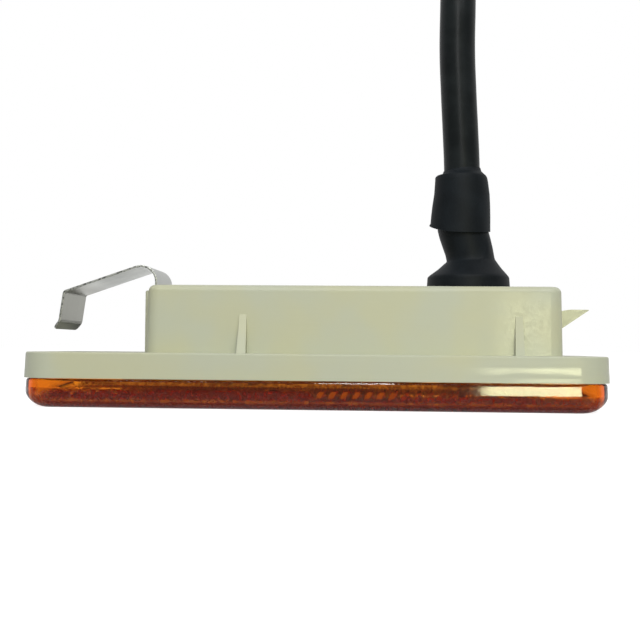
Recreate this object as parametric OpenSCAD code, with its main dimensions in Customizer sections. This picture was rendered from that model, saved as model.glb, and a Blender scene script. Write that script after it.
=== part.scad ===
// Side marker lamp with its lead: a moulded housing that snaps into a body panel, a prismatic
// amber lens, a spring clip, a wedge bulb in a push-in holder, a rubber boot, and a sleeved lead
// that ends in a two-pin plug. The lamp lies on its lens, with its back up.
// +Z goes from the lens face to the back, and +X from the clip to the hook. Millimetres.

/* [Flange] */
// Length of the flange
flange_l = 140; // [134:1:180]
// Width of the flange
flange_w = 46; // [46:1:70]
// Height of the flange's rim
flange_h = 6.05; // [5:0.05:9]
// Radius of the flange's corners, seen from the front
flange_corner_r = 8.3; // [7:0.1:12]
// How much the rim leans in towards the back, on each side
flange_draft = 0.45; // [0:0.05:0.8]
// Radius along the back edge of the rim
flange_edge_r = 0.6; // [0.3:0.1:1]
// Thickness of the rim's wall
rim_t = 2.1; // [1.6:0.1:2.6]
// Thickness of the housing's other walls
wall = 2; // [1.5:0.1:2.5]

/* [Box] */
// Length of the box behind the flange
box_l = 99.5; // [96:0.5:103]
// Width of the box
box_w = 34; // [30:0.5:36]
// Height of the box above the flange
box_h = 16.45; // [14:0.05:18]
// How far the box's middle lies towards the hook
box_x = 9.7; // [8:0.1:12]
// Radius of the box's upright corners
box_corner_r = 3.2; // [2.6:0.1:5]
// Radius round the box's back edge
box_edge_r = 1.8; // [0.8:0.1:2.2]
// How much each of the box's walls leans in over its height
box_draft = 0.4; // [0:0.05:0.6]
// Where the mark of the mould's gate lies on the flange's edge
gate_x = 61.9; // [55:0.1:62]

/* [Ribs and hook] */
// Thickness of the stiffening ribs
rib_t = 1.9; // [1.2:0.1:3]
// Height of the ribs above the flange
rib_h = 9.3; // [5:0.1:12]
// How far the ribs stand out at the flange
rib_reach = 4.8; // [2:0.1:5]
// Where the rib near the clip stands
rib_near_clip_x = -16.65; // [-30:0.05:0]
// Where the rib near the hook stands
rib_near_hook_x = 48.35; // [30:0.05:52]
// Width of the hook
hook_w = 14; // [8:0.5:24]
// How far the hook reaches past the box
hook_reach = 7.6; // [5:0.1:9]
// Height of the hook's top above the flange
hook_rise = 11.8; // [9:0.1:13]
// Depth of the hook at its root
hook_root_h = 5.4; // [3:0.1:6]
// Thickness of the hook at its tip
hook_tip_t = 0.35; // [0.2:0.05:1]

/* [Spring clip] */
// Width of the clip's strip
clip_w = 18; // [12:0.5:20]
// Thickness of the strip
clip_t = 0.5; // [0.3:0.05:0.6]
// Radius of the big bend, at the middle of the strip
clip_bend_r = 4.75; // [3:0.05:6]
// How far the strip rises out of the housing before it bends
clip_rise = 0.7; // [0.3:0.1:3]
// Slope of the clip's arm, in degrees
clip_slope = 22; // [10:1:30]
// Straight length of the clip's arm
clip_arm_l = 17.2; // [12:0.1:18]
// Straight length of the leg that grips the panel
clip_leg_l = 6; // [4:0.1:7]
// How far the leg leans away from the housing, in degrees
clip_leg_lean = 8; // [0:1:15]
// Length of the foot
clip_foot_l = 1.9; // [1:0.1:2.5]
// Angle of the foot from the leg, in degrees
clip_foot_angle = 30; // [10:1:45]
// Radius of the sharper bends, at the middle of the strip
clip_fold_r = 1.1; // [0.6:0.1:2]
// Corner radius of the foot
clip_corner_r = 1.8; // [0.5:0.1:2]
// Depth of the strip's tail inside its pocket
clip_tail_l = 12; // [8:0.5:13]
// Height of the pocket above the flange
pocket_h = 14.7; // [13:0.1:15]
// Thickness of the pocket's outer wall
pocket_t = 1.25; // [1:0.05:1.6]

/* [Lens] */
// Height of the lens, from its face to its rim
lens_h = 6.85; // [6.4:0.05:9]
// Height of the open line between the lens and the flange
lens_gap = 0.3; // [0.2:0.05:0.6]
// How far the lens lies inside the flange's edge
lens_inset = 0.3; // [0.1:0.05:0.6]
// Radius round the lens face
lens_edge_r = 4.5; // [3:0.1:5]
// Thickness of the lens face
lens_face_t = 2; // [1.6:0.1:2.4]
// Thickness of the lens wall
lens_wall_t = 2.5; // [2.4:0.05:3]
// Thickness of the tongue that locates the lens in the housing
tongue_t = 1.5; // [1.2:0.1:2]
// Pitch of the domes in the lens face
dome_pitch = 5.4; // [4.5:0.1:7]
// Height of the domes
dome_h = 1.1; // [0.6:0.1:1.4]
// Where the row of prisms starts
prism_x = 7.4; // [0:0.1:12]
// Pitch of the prisms
prism_pitch = 2.8; // [2:0.1:4]
// Height of the prisms
prism_h = 2.4; // [1:0.1:2.6]
// How many prisms there are
prism_count = 7; // [4:1:9]
// Pitch of the flutes
flute_pitch = 2.1; // [1.6:0.1:3]
// Height of the flutes
flute_h = 0.8; // [0.4:0.1:1]

/* [Bulb and holder] */
// Where the bulb stands along the lamp
bulb_x = 38.4; // [32:0.1:41]
// Overall length of the wedge bulb
bulb_l = 26.8; // [24:0.1:27.2]
// Radius of the bulb's glass
bulb_r = 5.15; // [4:0.05:5.3]
// Thickness of the glass
glass_t = 0.5; // [0.3:0.05:0.8]
// Width of the bulb's flat base
pinch_w = 9.5; // [8.5:0.1:10]
// Thickness of the flat base
pinch_t = 2.3; // [2:0.1:2.6]
// Height of the flat base
pinch_h = 7.5; // [6:0.1:8]
// Radius of the bulb's lead wires
lead_r = 0.25; // [0.15:0.05:0.3]
// Half the distance between the lead wires
lead_spread = 2.7; // [2.2:0.1:3]
// Radius of the filament's coil
coil_r = 0.45; // [0.3:0.05:0.6]
// Radius of the holder's body
holder_r = 7.3; // [7:0.05:7.6]
// Radius of the holder's flange
holder_flange_r = 8.9; // [8.7:0.05:9.1]
// Thickness of the holder's flange
holder_flange_t = 1.45; // [1:0.05:1.6]
// Radius of the holder's neck
holder_neck_r = 5.9; // [5.8:0.05:6]
// Thickness of the sealing ring
seal_t = 0.9; // [0.8:0.05:1]
// Width of the brass contacts
contact_w = 3; // [2:0.1:3.4]
// Thickness of the brass contacts
contact_t = 0.35; // [0.25:0.05:0.45]

/* [Boot and collar] */
// Radius of the boot's foot
boot_foot_r = 10.45; // [10.3:0.05:12]
// Thickness of the boot's wall
boot_t = 1.1; // [1:0.05:1.3]
// Height of the boot's foot
boot_foot_h = 3.15; // [3:0.05:4]
// Radius of the boot's neck
boot_neck_r = 6; // [5.9:0.05:6.6]
// Radius of the boot's tube at its top
boot_tube_r = 6.3; // [6.2:0.05:6.8]
// Height of the neck above the box
boot_neck_z = 7.6; // [7.2:0.1:9]
// Height of the elbow above the box
boot_elbow_z = 15.4; // [14:0.1:17]
// How far the neck lies towards the hook
boot_neck_shift = 0.6; // [0:0.1:1]
// How far the elbow lies back towards the clip
boot_elbow_shift = -1.6; // [-2:0.1:0]
// Height of the boot's top above the box
boot_top_z = 23.4; // [22.5:0.1:24]
// Length of the collar
collar_l = 15.1; // [13:0.1:18]
// Thickness of the collar's wall
collar_t = 0.65; // [0.5:0.05:1.2]
// How much the collar flares at its foot
collar_flare = 0.7; // [0:0.05:1]
// Height of the collar's sloping shoulder
collar_shoulder_h = 1.6; // [0.5:0.1:2.5]

/* [Lead and plug] */
// Diameter of the lead's sleeve
sleeve_d = 9.06; // [9:0.02:9.2]
// Diameter of each wire
wire_d = 2; // [1.6:0.1:2.2]
// Length of the shrunk tube on the sleeve's end
end_tube_l = 16; // [14:0.5:20]
// Thickness of the shrunk tube
end_tube_t = 0.6; // [0.4:0.05:0.7]
// Length of the plug's thick rear part
plug_rear_l = 15; // [13:0.5:18]
// Length of the plug's nose
plug_nose_l = 12; // [10:0.5:14]
// Width of the plug's rear part
plug_w = 14; // [13:0.5:15]
// Height of the plug's rear part
plug_h = 12; // [11:0.5:12.5]
// Thickness of the wall round the nose
plug_nose_step = 1.5; // [1:0.1:2]
// Distance between the plug's two ways
plug_pitch = 6; // [5.5:0.1:6.5]
// Radius of the plug's terminals
terminal_r = 1.25; // [1:0.05:1.4]
// Radius of the wire seals
wire_seal_r = 2.25; // [2:0.05:2.4]

/* [Clearances] */
// Between moulded parts that slide together
fit = 0.25; // [0.15:0.05:0.35]
// Round small metal parts in their seats
small_fit = 0.05; // [0.03:0.01:0.08]
// Round soft parts in or on their seats
soft_fit = 0.12; // [0.08:0.01:0.15]

/* [Hidden] */

// Facets round curved and blended shapes
$fn = 48;
blend_fn = 32;
// Flats in each rounded edge
edge_steps = 5;
// Thickness of the slices that a blend is stretched over
slice = 0.01;
// How far a cut runs past the face that it opens
past = 1;

// Heights of the main faces
flange_z = lens_h + lens_gap;
flange_top = flange_z + flange_h;
tray_roof = flange_top - wall;
box_top = flange_top + box_h;
box_roof = box_top - wall;
box_left = box_x - box_l / 2;
box_right = box_x + box_l / 2;

// The clip stands against the box's end wall, in a pocket with a window for the wall's nib
clip_x = box_left - fit - clip_t / 2;
pocket_slot_t = clip_t + 2 * fit;
pocket_reach = pocket_slot_t + pocket_t;
pocket_w = clip_w + 2 * fit + 2 * pocket_t;
pocket_top = flange_top + pocket_h;
nib_w = 5;
nib_h = 2;
nib_z = pocket_top - clip_tail_l / 2;

// The lens's cavity, its tongue and its three zones of optics
lens_l = flange_l - 2 * lens_inset;
lens_w = flange_w - 2 * lens_inset;
lens_r = flange_corner_r - lens_inset;
lens_inner_l = lens_l - 2 * lens_wall_t;
lens_inner_w = lens_w - 2 * lens_wall_t;
tongue_in = rim_t + fit;
tongue_root = 1.5;
optics_l = lens_inner_l - 2 * lens_edge_r + 2 * lens_wall_t;
optics_w = lens_inner_w - 2 * lens_edge_r + 2 * lens_wall_t;
prism_l = prism_count * prism_pitch;
flute_x = prism_x + prism_l;
flute_count = floor((optics_l / 2 - flute_x) / flute_pitch);
dome_columns = floor((prism_x + optics_l / 2) / dome_pitch);
dome_rows = floor(optics_w / dome_pitch);
dome_r = dome_pitch / 2 - 0.1;

// The port in the back of the box, and what stands in it
port_r = holder_r + fit;
port_boss_t = 1.8;
port_boss_h = 2.2;
lug_w = 4;
lug_t = 1.2;
lug_reach = 0.7;
lug_count = 3;
lug_z = box_roof - port_boss_h - lug_t - soft_fit;
notch_r = holder_r + lug_reach + fit;
seal_ring_r = notch_r + 0.2;
holder_seat = box_top + seal_t;
pinch_end = box_top + 3.85;
pinch_start = pinch_end - pinch_h;
bulb_tip = pinch_end - bulb_l;
holder_mouth = lug_z - 0.2;
holder_end = pinch_end + 1.5;
filament_z = bulb_tip + 9;
lead_fold = pinch_t / 2 + lead_r + small_fit;
contact_y = lead_fold + lead_r + small_fit;
contact_x = lead_spread - contact_w / 2 + 0.6;
contact_end = holder_end + 1.6;
slot_y = contact_y + contact_t + small_fit;

// The lead's route, from inside the boot, up and over, and round on the table to its end tube
ROUTE = [
    [36.7, 0, 50], [36.7, 0, 60.5], [36.3, 0, 70], [35.8, 0, 80], [35.4, 0, 91], [35.5, 0, 102],
    [36, 4, 122], [37, 15.5, 139], [38.5, 32.5, 150.5], [40, 52.5, 154.5],
    [41.5, 72.5, 150.5], [43, 89.5, 139], [44, 101, 122], [44.5, 105, 102],
    [45, 105, 84], [45.6, 105, 64], [45.6, 105, 44.6], [42.6, 105, 29.3], [34, 105, 16.4],
    [21, 105, 7.6], [5.6, 105, 4.6], [-9, 105, 4.6], [-24, 105, 4.6],
    [-38.5, 102, 4.6], [-51, 94, 4.6], [-59, 81.5, 4.6], [-62, 67, 4.6],
    [-59, 52.5, 4.6], [-51, 40, 4.6], [-38.5, 32, 4.6], [-24, 29.2, 4.8],
    [-12, 29.4, 5.2], [-3, 30, 5.4], [5, 30, 5.4], [12, 30, 5.4],
];

// The boot, the collar and the wires between them
boot_neck = [bulb_x + boot_neck_shift, box_top + boot_neck_z];
boot_elbow = [bulb_x + boot_elbow_shift, box_top + boot_elbow_z];
boot_end = [ROUTE[0][0], box_top + boot_top_z];
sleeve_r = sleeve_d / 2;
wire_r = wire_d / 2;
spigot_r = boot_tube_r - 0.1;
collar_r = spigot_r + soft_fit + collar_t;
collar_z = boot_elbow[1] + 0.2;
collar_top = collar_z + collar_l;
collar_step = boot_end[1] + 0.3;

lead_end = ROUTE[len(ROUTE) - 1];
end_tube_x = lead_end[0] - end_tube_l / 2;

// The plug lies on the table behind the lamp
plug_x = 34;
plug_y = 33;
plug_z = plug_h / 2;
plug_l = plug_rear_l + plug_nose_l;
plug_nose_w = plug_w - 2 * plug_nose_step;
plug_nose_h = plug_h - 2 * plug_nose_step;
plug_corner_r = 1.2;
plug_seal_l = 1.5;
plug_seal_t = 0.45 * plug_nose_step;
latch_t = 0.5 * plug_nose_step;
latch_w = 5;
lock_t = 1.5;
lock_w = plug_nose_w - 2.4;
lock_h = plug_nose_h - 3.6;
seal_bore_l = 8;
terminal_l = 14;
terminal_x = plug_x + seal_bore_l;
plug_wire_end = terminal_x - small_fit;

function side(s) = s == "left" ? -1 : 1;

// Points along an arc in a plane, from angle a to angle b
function arc(c, r, a, b, n = 8) =
    [for (i = [0:n]) let (t = a + (b - a) * i / n) c + r * [cos(t), sin(t)]];

// The line that a bent strip follows: each move is a straight length, then a bend's radius and angle
function bent(p, heading, moves, i = 0) =
    let (m = moves[i], q = p + m[0] * [cos(heading), sin(heading)])
    i == len(moves) - 1 ? [q] :
    let (
        turn = m[2] > 0 ? 90 : -90,
        c = q + m[1] * [cos(heading + turn), sin(heading + turn)],
        a = heading - turn,
        bend = arc(c, m[1], a, a + m[2])
    )
    concat(bend, bent(bend[len(bend) - 1], heading + m[2], moves, i + 1));

// The direction along a line at one of its points
function along(p, i) =
    let (d = p[min(i + 1, len(p) - 1)] - p[max(i - 1, 0)]) d / norm(d);

// A line's points, moved sideways by d
function beside(p, d) =
    [for (i = [0:len(p) - 1]) let (t = along(p, i)) p[i] + d * [-t[1], t[0]]];

function reversed(p) = [for (i = [len(p) - 1:-1:0]) p[i]];

// A vector across a line at its start, carried along the line without twisting
function carried(p, u, i = 0) =
    let (t = along(p, i), v = u - (u * t) * t, w = v / norm(v))
    i == len(p) - 1 ? [w] : concat([w], carried(p, w, i + 1));

// A round tube, closed at both ends, swept through the points p
module swept_tube(p, r, sides = 12) {
    across = carried(p, [0.3, 1, 0.1]);
    rings = [
        for (i = [0:len(p) - 1])
            let (u = across[i], v = cross(along(p, i), u))
            for (k = [0:sides - 1]) p[i] + r * (cos(360 * k / sides) * u + sin(360 * k / sides) * v)
    ];
    walls = [
        for (i = [0:len(p) - 2], k = [0:sides - 1])
            let (a = i * sides + k, b = i * sides + (k + 1) % sides)
            each [[a, a + sides, b], [b, a + sides, b + sides]]
    ];
    start_cap = [for (k = [0:sides - 1]) k];
    end_cap = [for (k = [sides - 1:-1:0]) (len(p) - 1) * sides + k];
    polyhedron(rings, concat(walls, [start_cap, end_cap]));
}

// A rectangle with round corners
module rounded_rect(l, w, r) {
    square([l - 2 * r, w], center = true);
    square([l, w - 2 * r], center = true);
    for (x = [-1, 1], y = [-1, 1]) translate([x * (l / 2 - r), y * (w / 2 - r)]) circle(r);
}

// A block that leans in by draft as it rises, and is rounded by edge_r round its top
module drafted_block(l, w, h, r, draft, edge_r) {
    top = [r - draft - edge_r, h - edge_r];
    hull()
        for (x = [-1, 1], y = [-1, 1])
            translate([x * (l / 2 - r), y * (w / 2 - r), 0])
                rotate_extrude($fn = blend_fn)
                    polygon(concat([[0, 0], [r, 0]], arc(top, edge_r, 0, 90, edge_steps), [[0, h]]));
}

// A straight-sided block with round corners
module rounded_block(l, w, h, r) {
    linear_extrude(h) rounded_rect(l, w, r);
}

// Housing: the flange, the box behind it, and all that is moulded on them
module housing_solid() {
    translate([0, 0, flange_z])
        drafted_block(flange_l, flange_w, flange_h, flange_corner_r, flange_draft, flange_edge_r);
    translate([box_x, 0, tray_roof])
        drafted_block(box_l, box_w, box_h + wall, box_corner_r, box_draft, box_edge_r);
    for (x = [rib_near_clip_x, rib_near_hook_x], y = [-1, 1]) scale([1, y, 1]) rib(x);
    hook();
    clip_pocket();
}

module rib(x) {
    foot = box_w / 2 - wall / 2;
    translate([x + rib_t / 2, 0, 0]) rotate([90, 0, -90]) linear_extrude(rib_t) polygon([
        [foot, flange_top - wall / 2],
        [box_w / 2 + rib_reach, flange_top - wall / 2],
        [box_w / 2 + rib_reach, flange_top],
        [box_w / 2 - box_draft * rib_h / box_h, flange_top + rib_h],
        [foot, flange_top + rib_h],
    ]);
}

module hook() {
    top = flange_top + hook_rise;
    root = box_right - box_draft - wall / 2;
    tip = box_right + hook_reach;
    dip = 0.8;
    ramp = 3.6;
    ramp_r = (ramp * ramp + dip * dip) / (2 * dip);
    ramp_end = [box_right + ramp, top];
    translate([0, hook_w / 2, 0]) rotate([90, 0, 0]) linear_extrude(hook_w) polygon(concat(
        [[root, top - hook_root_h], [box_right, top - hook_root_h]],
        [[tip, top - hook_tip_t], [tip, top]],
        arc(ramp_end - [0, ramp_r], ramp_r, 90, 90 + asin(ramp / ramp_r)),
        [[root, top - dip]]
    ));
}

module clip_pocket() {
    translate([box_left - pocket_reach, -pocket_w / 2, tray_roof])
        cube([pocket_reach + wall / 2, pocket_w, pocket_top - tray_roof]);
}

// What is cut from the housing: the tray, the box's inside, the clip's slot and the bulb's port
module housing_cuts() {
    translate([0, 0, flange_z - past])
        rounded_block(flange_l - 2 * rim_t, flange_w - 2 * rim_t, tray_roof - flange_z + past,
            flange_corner_r - rim_t);
    translate([box_x, 0, flange_z])
        rounded_block(box_l - 2 * wall - box_draft, box_w - 2 * wall - box_draft, box_roof - flange_z,
            box_corner_r - wall / 2);
    translate([box_left - pocket_slot_t, -clip_w / 2 - fit, pocket_top - clip_tail_l - fit])
        cube([pocket_slot_t, clip_w + 2 * fit, clip_tail_l + box_h]);
    translate([gate_x, -flange_w / 2 + flange_draft, flange_top - 0.4]) cylinder(h = past, r = 0.55);
}

module housing() color([0.76, 0.77, 0.66]) difference() {
    union() {
        difference() {
            housing_solid();
            housing_cuts();
        }
        translate([bulb_x, 0, box_roof - port_boss_h])
            cylinder(h = port_boss_h + wall / 2, r = port_r + port_boss_t);
        translate([box_left - fit / 2, 0, nib_z])
            rotate([90, 0, 0]) translate([0, 0, -nib_w / 2])
                linear_extrude(nib_w) polygon([[fit, 0], [-clip_t, 0], [fit, nib_h]]);
    }
    translate([bulb_x, 0, box_roof - port_boss_h - past]) {
        cylinder(h = port_boss_h + wall + 2 * past, r = port_r);
        for (i = [0:lug_count - 1])
            rotate(60 + 360 * i / lug_count) translate([0, -lug_w / 2 - fit, 0])
                cube([notch_r, lug_w + 2 * fit, port_boss_h + wall + 2 * past]);
    }
}

// Lens: a tray with a round edge, a tongue round its rim, and optics moulded inside its face
module lens_optics() {
    floor_z = lens_face_t - slice;
    for (i = [0:dome_columns - 1], j = [0:dome_rows - 1])
        translate([prism_x - dome_pitch * (i + 0.5), dome_pitch * (j - (dome_rows - 1) / 2), floor_z])
            dome();
    translate([0, optics_w / 2, floor_z]) rotate([90, 0, 0]) linear_extrude(optics_w) {
        for (i = [0:prism_count - 1])
            translate([prism_x + prism_pitch * i, 0])
                polygon([[0, 0], [prism_pitch, 0], [prism_pitch, prism_h]]);
        for (i = [0:flute_count - 1])
            translate([flute_x + flute_pitch * i, 0])
                polygon([[0, 0], [flute_pitch, 0], [flute_pitch / 2, flute_h]]);
    }
}

module dome() {
    r = (dome_r * dome_r + dome_h * dome_h) / (2 * dome_h);
    intersection() {
        translate([0, 0, dome_h - r]) sphere(r, $fn = 24);
        translate([-dome_pitch, -dome_pitch, -slice]) cube([2 * dome_pitch, 2 * dome_pitch, dome_h + past]);
    }
}

module lens() color([0.9, 0.4, 0.05, 0.8]) {
    difference() {
        translate([0, 0, lens_h]) mirror([0, 0, 1])
            drafted_block(lens_l, lens_w, lens_h, lens_r, 0, lens_edge_r);
        translate([0, 0, lens_h + past]) mirror([0, 0, 1])
            drafted_block(lens_inner_l, lens_inner_w, lens_h + past - lens_face_t,
                lens_r - lens_wall_t, 0, lens_edge_r - lens_wall_t);
    }
    translate([0, 0, lens_h - tongue_root]) difference() {
        rounded_block(flange_l - 2 * tongue_in, flange_w - 2 * tongue_in,
            tray_roof - soft_fit - lens_h + tongue_root, flange_corner_r - tongue_in);
        translate([0, 0, -past])
            rounded_block(flange_l - 2 * (tongue_in + tongue_t), flange_w - 2 * (tongue_in + tongue_t),
                tray_roof - lens_h + tongue_root + 2 * past, flange_corner_r - tongue_in - tongue_t);
    }
    lens_optics();
}

// Spring clip: one strip of steel, bent on edge, that springs against the panel
module spring_clip() color([0.75, 0.76, 0.78]) {
    tail_z = pocket_top - clip_tail_l;
    tail = [clip_x, tail_z];
    line = concat([tail], bent(tail, 90, [
        [box_top + clip_rise - tail_z, clip_bend_r, 90 + clip_slope],
        [clip_arm_l, clip_fold_r, 90 - clip_slope - clip_leg_lean],
        [clip_leg_l, clip_fold_r, -clip_foot_angle],
        [clip_foot_l],
    ]));
    foot = line[len(line) - 1];
    difference() {
        translate([0, clip_w / 2, 0]) rotate([90, 0, 0]) linear_extrude(clip_w)
            polygon(concat(beside(line, clip_t / 2), reversed(beside(line, -clip_t / 2))));
        for (y = [-1, 1]) scale([1, y, 1])
            translate([foot[0] - past, clip_w / 2, foot[1] - clip_t]) foot_corner_cut();
        translate([clip_x - past, -nib_w / 2 - fit, nib_z - fit])
            cube([2 * past, nib_w + 2 * fit, nib_h + 2 * fit]);
    }
}

module foot_corner_cut() {
    r = clip_corner_r;
    rotate([90, 0, 90]) linear_extrude(clip_foot_l + 2 * past) difference() {
        translate([-r, -past]) square([r + past, r + past + clip_t / 2]);
        translate([-r, r + clip_t / 2]) circle(r);
    }
}

// Bulb holder: it stands in the port, with its flange on the seal, and grips the bulb's base
module bulb_holder() color([0.16, 0.16, 0.17]) translate([bulb_x, 0, 0]) difference() {
    union() {
        translate([0, 0, holder_mouth]) cylinder(h = holder_end - holder_mouth, r = holder_neck_r);
        translate([0, 0, holder_mouth]) cylinder(h = holder_seat - holder_mouth + slice, r = holder_r);
        translate([0, 0, holder_seat]) cylinder(h = holder_flange_t, r = holder_flange_r);
        for (i = [0:lug_count - 1])
            rotate(360 * i / lug_count)
                translate([holder_r - 1, -lug_w / 2, lug_z])
                    cube([1 + lug_reach, lug_w, lug_t]);
    }
    translate([0, 0, holder_mouth - past])
        cylinder(h = past + pinch_start - holder_mouth, r = bulb_r + fit);
    translate([-pinch_w / 2 - fit, -slot_y, pinch_start - past])
        cube([pinch_w + 2 * fit, 2 * slot_y, past + pinch_h + 3 * lead_r]);
    for (s = [-1, 1])
        translate([s * contact_x, -s * (contact_y + contact_t / 2), pinch_start])
            translate([-contact_w / 2 - small_fit, -contact_t / 2 - small_fit, 0])
                cube([contact_w + 2 * small_fit, contact_t + 2 * small_fit, contact_end]);
}

module holder_seal() color([0.1, 0.1, 0.1])
    translate([bulb_x, 0, box_top + seal_t / 2]) rotate_extrude()
        translate([seal_ring_r, 0]) circle(seal_t / 2, $fn = 24);

// Contact: a brass strip on each face of the bulb's base, with its tail through the holder's end
module contact(s) color([0.8, 0.65, 0.3]) {
    foot = pinch_start + 0.5;
    translate([bulb_x + side(s) * contact_x, -side(s) * (contact_y + contact_t / 2), foot])
        translate([-contact_w / 2, -contact_t / 2, 0])
            cube([contact_w, contact_t, contact_end - foot]);
}

// Bulb: an envelope with a domed end, pressed flat into a wedge base round its two leads
module bulb_glass() color([0.9, 0.95, 1, 0.4]) translate([bulb_x, 0, 0]) difference() {
    union() {
        translate([0, 0, bulb_tip + bulb_r]) sphere(bulb_r);
        translate([0, 0, bulb_tip + bulb_r])
            cylinder(h = pinch_start - bulb_tip - bulb_r, r = bulb_r);
        translate([-pinch_w / 2, -pinch_t / 2, pinch_start - glass_t])
            cube([pinch_w, pinch_t, pinch_h + glass_t]);
    }
    translate([0, 0, bulb_tip + bulb_r]) sphere(bulb_r - glass_t);
    translate([0, 0, bulb_tip + bulb_r])
        cylinder(h = pinch_start - bulb_tip - bulb_r - 2 * glass_t, r = bulb_r - glass_t);
    for (x = [-1, 1])
        translate([x * lead_spread, 0, pinch_start - past - 2 * glass_t])
            cylinder(h = pinch_h + 2 * past + 2 * glass_t, r = lead_r + small_fit);
}

// Lead wire: from the filament up through the base, then folded down over one of its faces
module bulb_lead(s) color([0.7, 0.7, 0.72]) {
    top = pinch_end + lead_r + small_fit;
    fold_y = -side(s) * lead_fold;
    translate([bulb_x + side(s) * lead_spread, 0, 0]) {
        translate([0, 0, filament_z - coil_r])
            cylinder(h = top - filament_z + coil_r, r = lead_r, $fn = 16);
        translate([0, 0, top]) sphere(lead_r, $fn = 16);
        translate([0, 0, top]) rotate([side(s) * 90, 0, 0])
            cylinder(h = lead_fold, r = lead_r, $fn = 16);
        translate([0, fold_y, top]) sphere(lead_r, $fn = 16);
        translate([0, fold_y, pinch_start + 2]) cylinder(h = top - pinch_start - 2, r = lead_r, $fn = 16);
    }
}

module bulb_filament() color([0.5, 0.5, 0.52]) {
    turns = 10;
    half = lead_spread - lead_r;
    pitch = 2 * half / turns;
    translate([bulb_x, 0, filament_z]) rotate([0, 90, 0]) translate([0, 0, -half])
        rotate_extrude($fn = 16) polygon(concat(
            [[0, 0]],
            [for (i = [0:turns - 1]) each [[0.7 * coil_r, pitch * i], [coil_r, pitch * (i + 0.5)]]],
            [[0.7 * coil_r, 2 * half], [0, 2 * half]]
        ));
}

// A section of the boot: a thin disc at a place in the middle plane, tipped by an angle
module boot_disc(place, r, tip = 0) {
    translate([place[0], 0, place[1]]) rotate([0, tip, 0])
        cylinder(h = slice, r = r, $fn = blend_fn);
}

// The boot's outside grown inwards by t: a foot, a cone, a leaning neck and an upright top
module boot_form(t) {
    lean = atan((boot_elbow[0] - boot_neck[0]) / (boot_elbow[1] - boot_neck[1]));
    foot = [bulb_x, box_top + boot_foot_h];
    hull() {
        boot_disc(foot, boot_foot_r - 0.1 - t);
        boot_disc(boot_neck, boot_neck_r - t, lean / 2);
    }
    hull() {
        boot_disc(boot_neck, boot_neck_r - t, lean / 2);
        boot_disc(boot_elbow, boot_tube_r - t, lean / 2);
    }
}

module boot() color([0.12, 0.13, 0.14]) {
    bore_r = sleeve_r + soft_fit;
    tube_t = boot_neck_r - bore_r;
    difference() {
        union() {
            translate([bulb_x, 0, box_top])
                cylinder(h = boot_foot_h, r1 = boot_foot_r, r2 = boot_foot_r - 0.1);
            boot_form(0);
            hull() {
                boot_disc(boot_elbow, boot_tube_r);
                boot_disc(boot_end - [0, slice], spigot_r);
            }
        }
        translate([bulb_x, 0, box_top - past])
            cylinder(h = boot_foot_h + past - 0.5, r = boot_foot_r - 0.1 - boot_t);
        hull() {
            boot_disc([bulb_x, box_top + boot_foot_h - 0.6], boot_foot_r - 0.1 - 1.4 * boot_t);
            boot_disc(boot_neck, boot_neck_r - tube_t);
        }
        hull() {
            boot_disc(boot_neck, boot_neck_r - tube_t);
            boot_disc(boot_elbow, bore_r);
        }
        hull() {
            boot_disc(boot_elbow, bore_r);
            boot_disc(boot_end + [0, past], bore_r);
        }
    }
}

// Collar: a tube shrunk over the boot's top and down on to the lead
module collar() color([0.11, 0.12, 0.13]) {
    bore_r = spigot_r + soft_fit;
    mouth_r = boot_tube_r + soft_fit + collar_flare / 2;
    translate([boot_end[0], 0, 0]) rotate_extrude() polygon([
        [mouth_r, collar_z],
        [collar_r + collar_flare, collar_z + 0.3],
        [collar_r + 0.45 * collar_flare, collar_z + 0.25 * collar_l],
        [collar_r, collar_z + 0.55 * collar_l],
        [collar_r - 0.45, collar_top - collar_shoulder_h],
        [sleeve_r + 0.25, collar_top],
        [sleeve_r + soft_fit + 0.1, collar_top],
        [sleeve_r + soft_fit + 0.1, collar_step],
        [bore_r + 0.1, collar_step],
        [bore_r + 0.1, collar_z + 2],
    ]);
}

// Wire in the boot: from a contact's tail up to the end of the sleeve
module lamp_wire(s) {
    start = [bulb_x + side(s) * contact_x, -side(s) * (contact_y + contact_t / 2), contact_end + small_fit];
    top = ROUTE[0] + [side(s) * (wire_r + small_fit), -side(s) * wire_r, -small_fit];
    low = start + [0, 0, 1.5];
    color(side(s) < 0 ? [0.1, 0.1, 0.1] : [0.35, 0.2, 0.1])
        swept_tube([start, low, (low + top) / 2, top - [0, 0, 1], top], wire_r, 8);
}

// Lead: the sleeve with its two wires inside
module conduit() color([0.13, 0.14, 0.15]) swept_tube(ROUTE, sleeve_r);

// End tube: shrunk over the sleeve's end and down on to the two wires
module conduit_end_tube() color([0.1, 0.1, 0.11])
    translate([end_tube_x, lead_end[1], lead_end[2]]) rotate([0, 90, 0]) {
        grip = end_tube_l / 2;
        inner = sleeve_r + soft_fit;
        neck = 2 * wire_r + 0.5;
        rotate_extrude() polygon([
            [inner, 0], [inner + end_tube_t - 0.2, 0], [inner + end_tube_t - 0.05, 0.4],
            [inner + end_tube_t - 0.05, grip], [neck + 1.1 * end_tube_t, grip + 3],
            [neck + end_tube_t, end_tube_l], [neck, end_tube_l], [neck, grip + 3], [inner, grip + 0.3],
        ]);
    }

// Wire to the plug: out of the sleeve's end and into its own way
module plug_wire(s) {
    start = [lead_end[0] + small_fit, lead_end[1] + side(s) * (wire_r + small_fit), lead_end[2]];
    neck = start + [end_tube_l / 2, 0, 0];
    way = [plug_x, plug_y + side(s) * plug_pitch / 2, plug_z];
    stop = [plug_wire_end, way[1], way[2]];
    color(side(s) < 0 ? [0.1, 0.1, 0.1] : [0.35, 0.2, 0.1])
        swept_tube([start, neck, neck + 0.5 * (way - neck), way - [3, 0, 0], way, stop], wire_r, 8);
}

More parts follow.
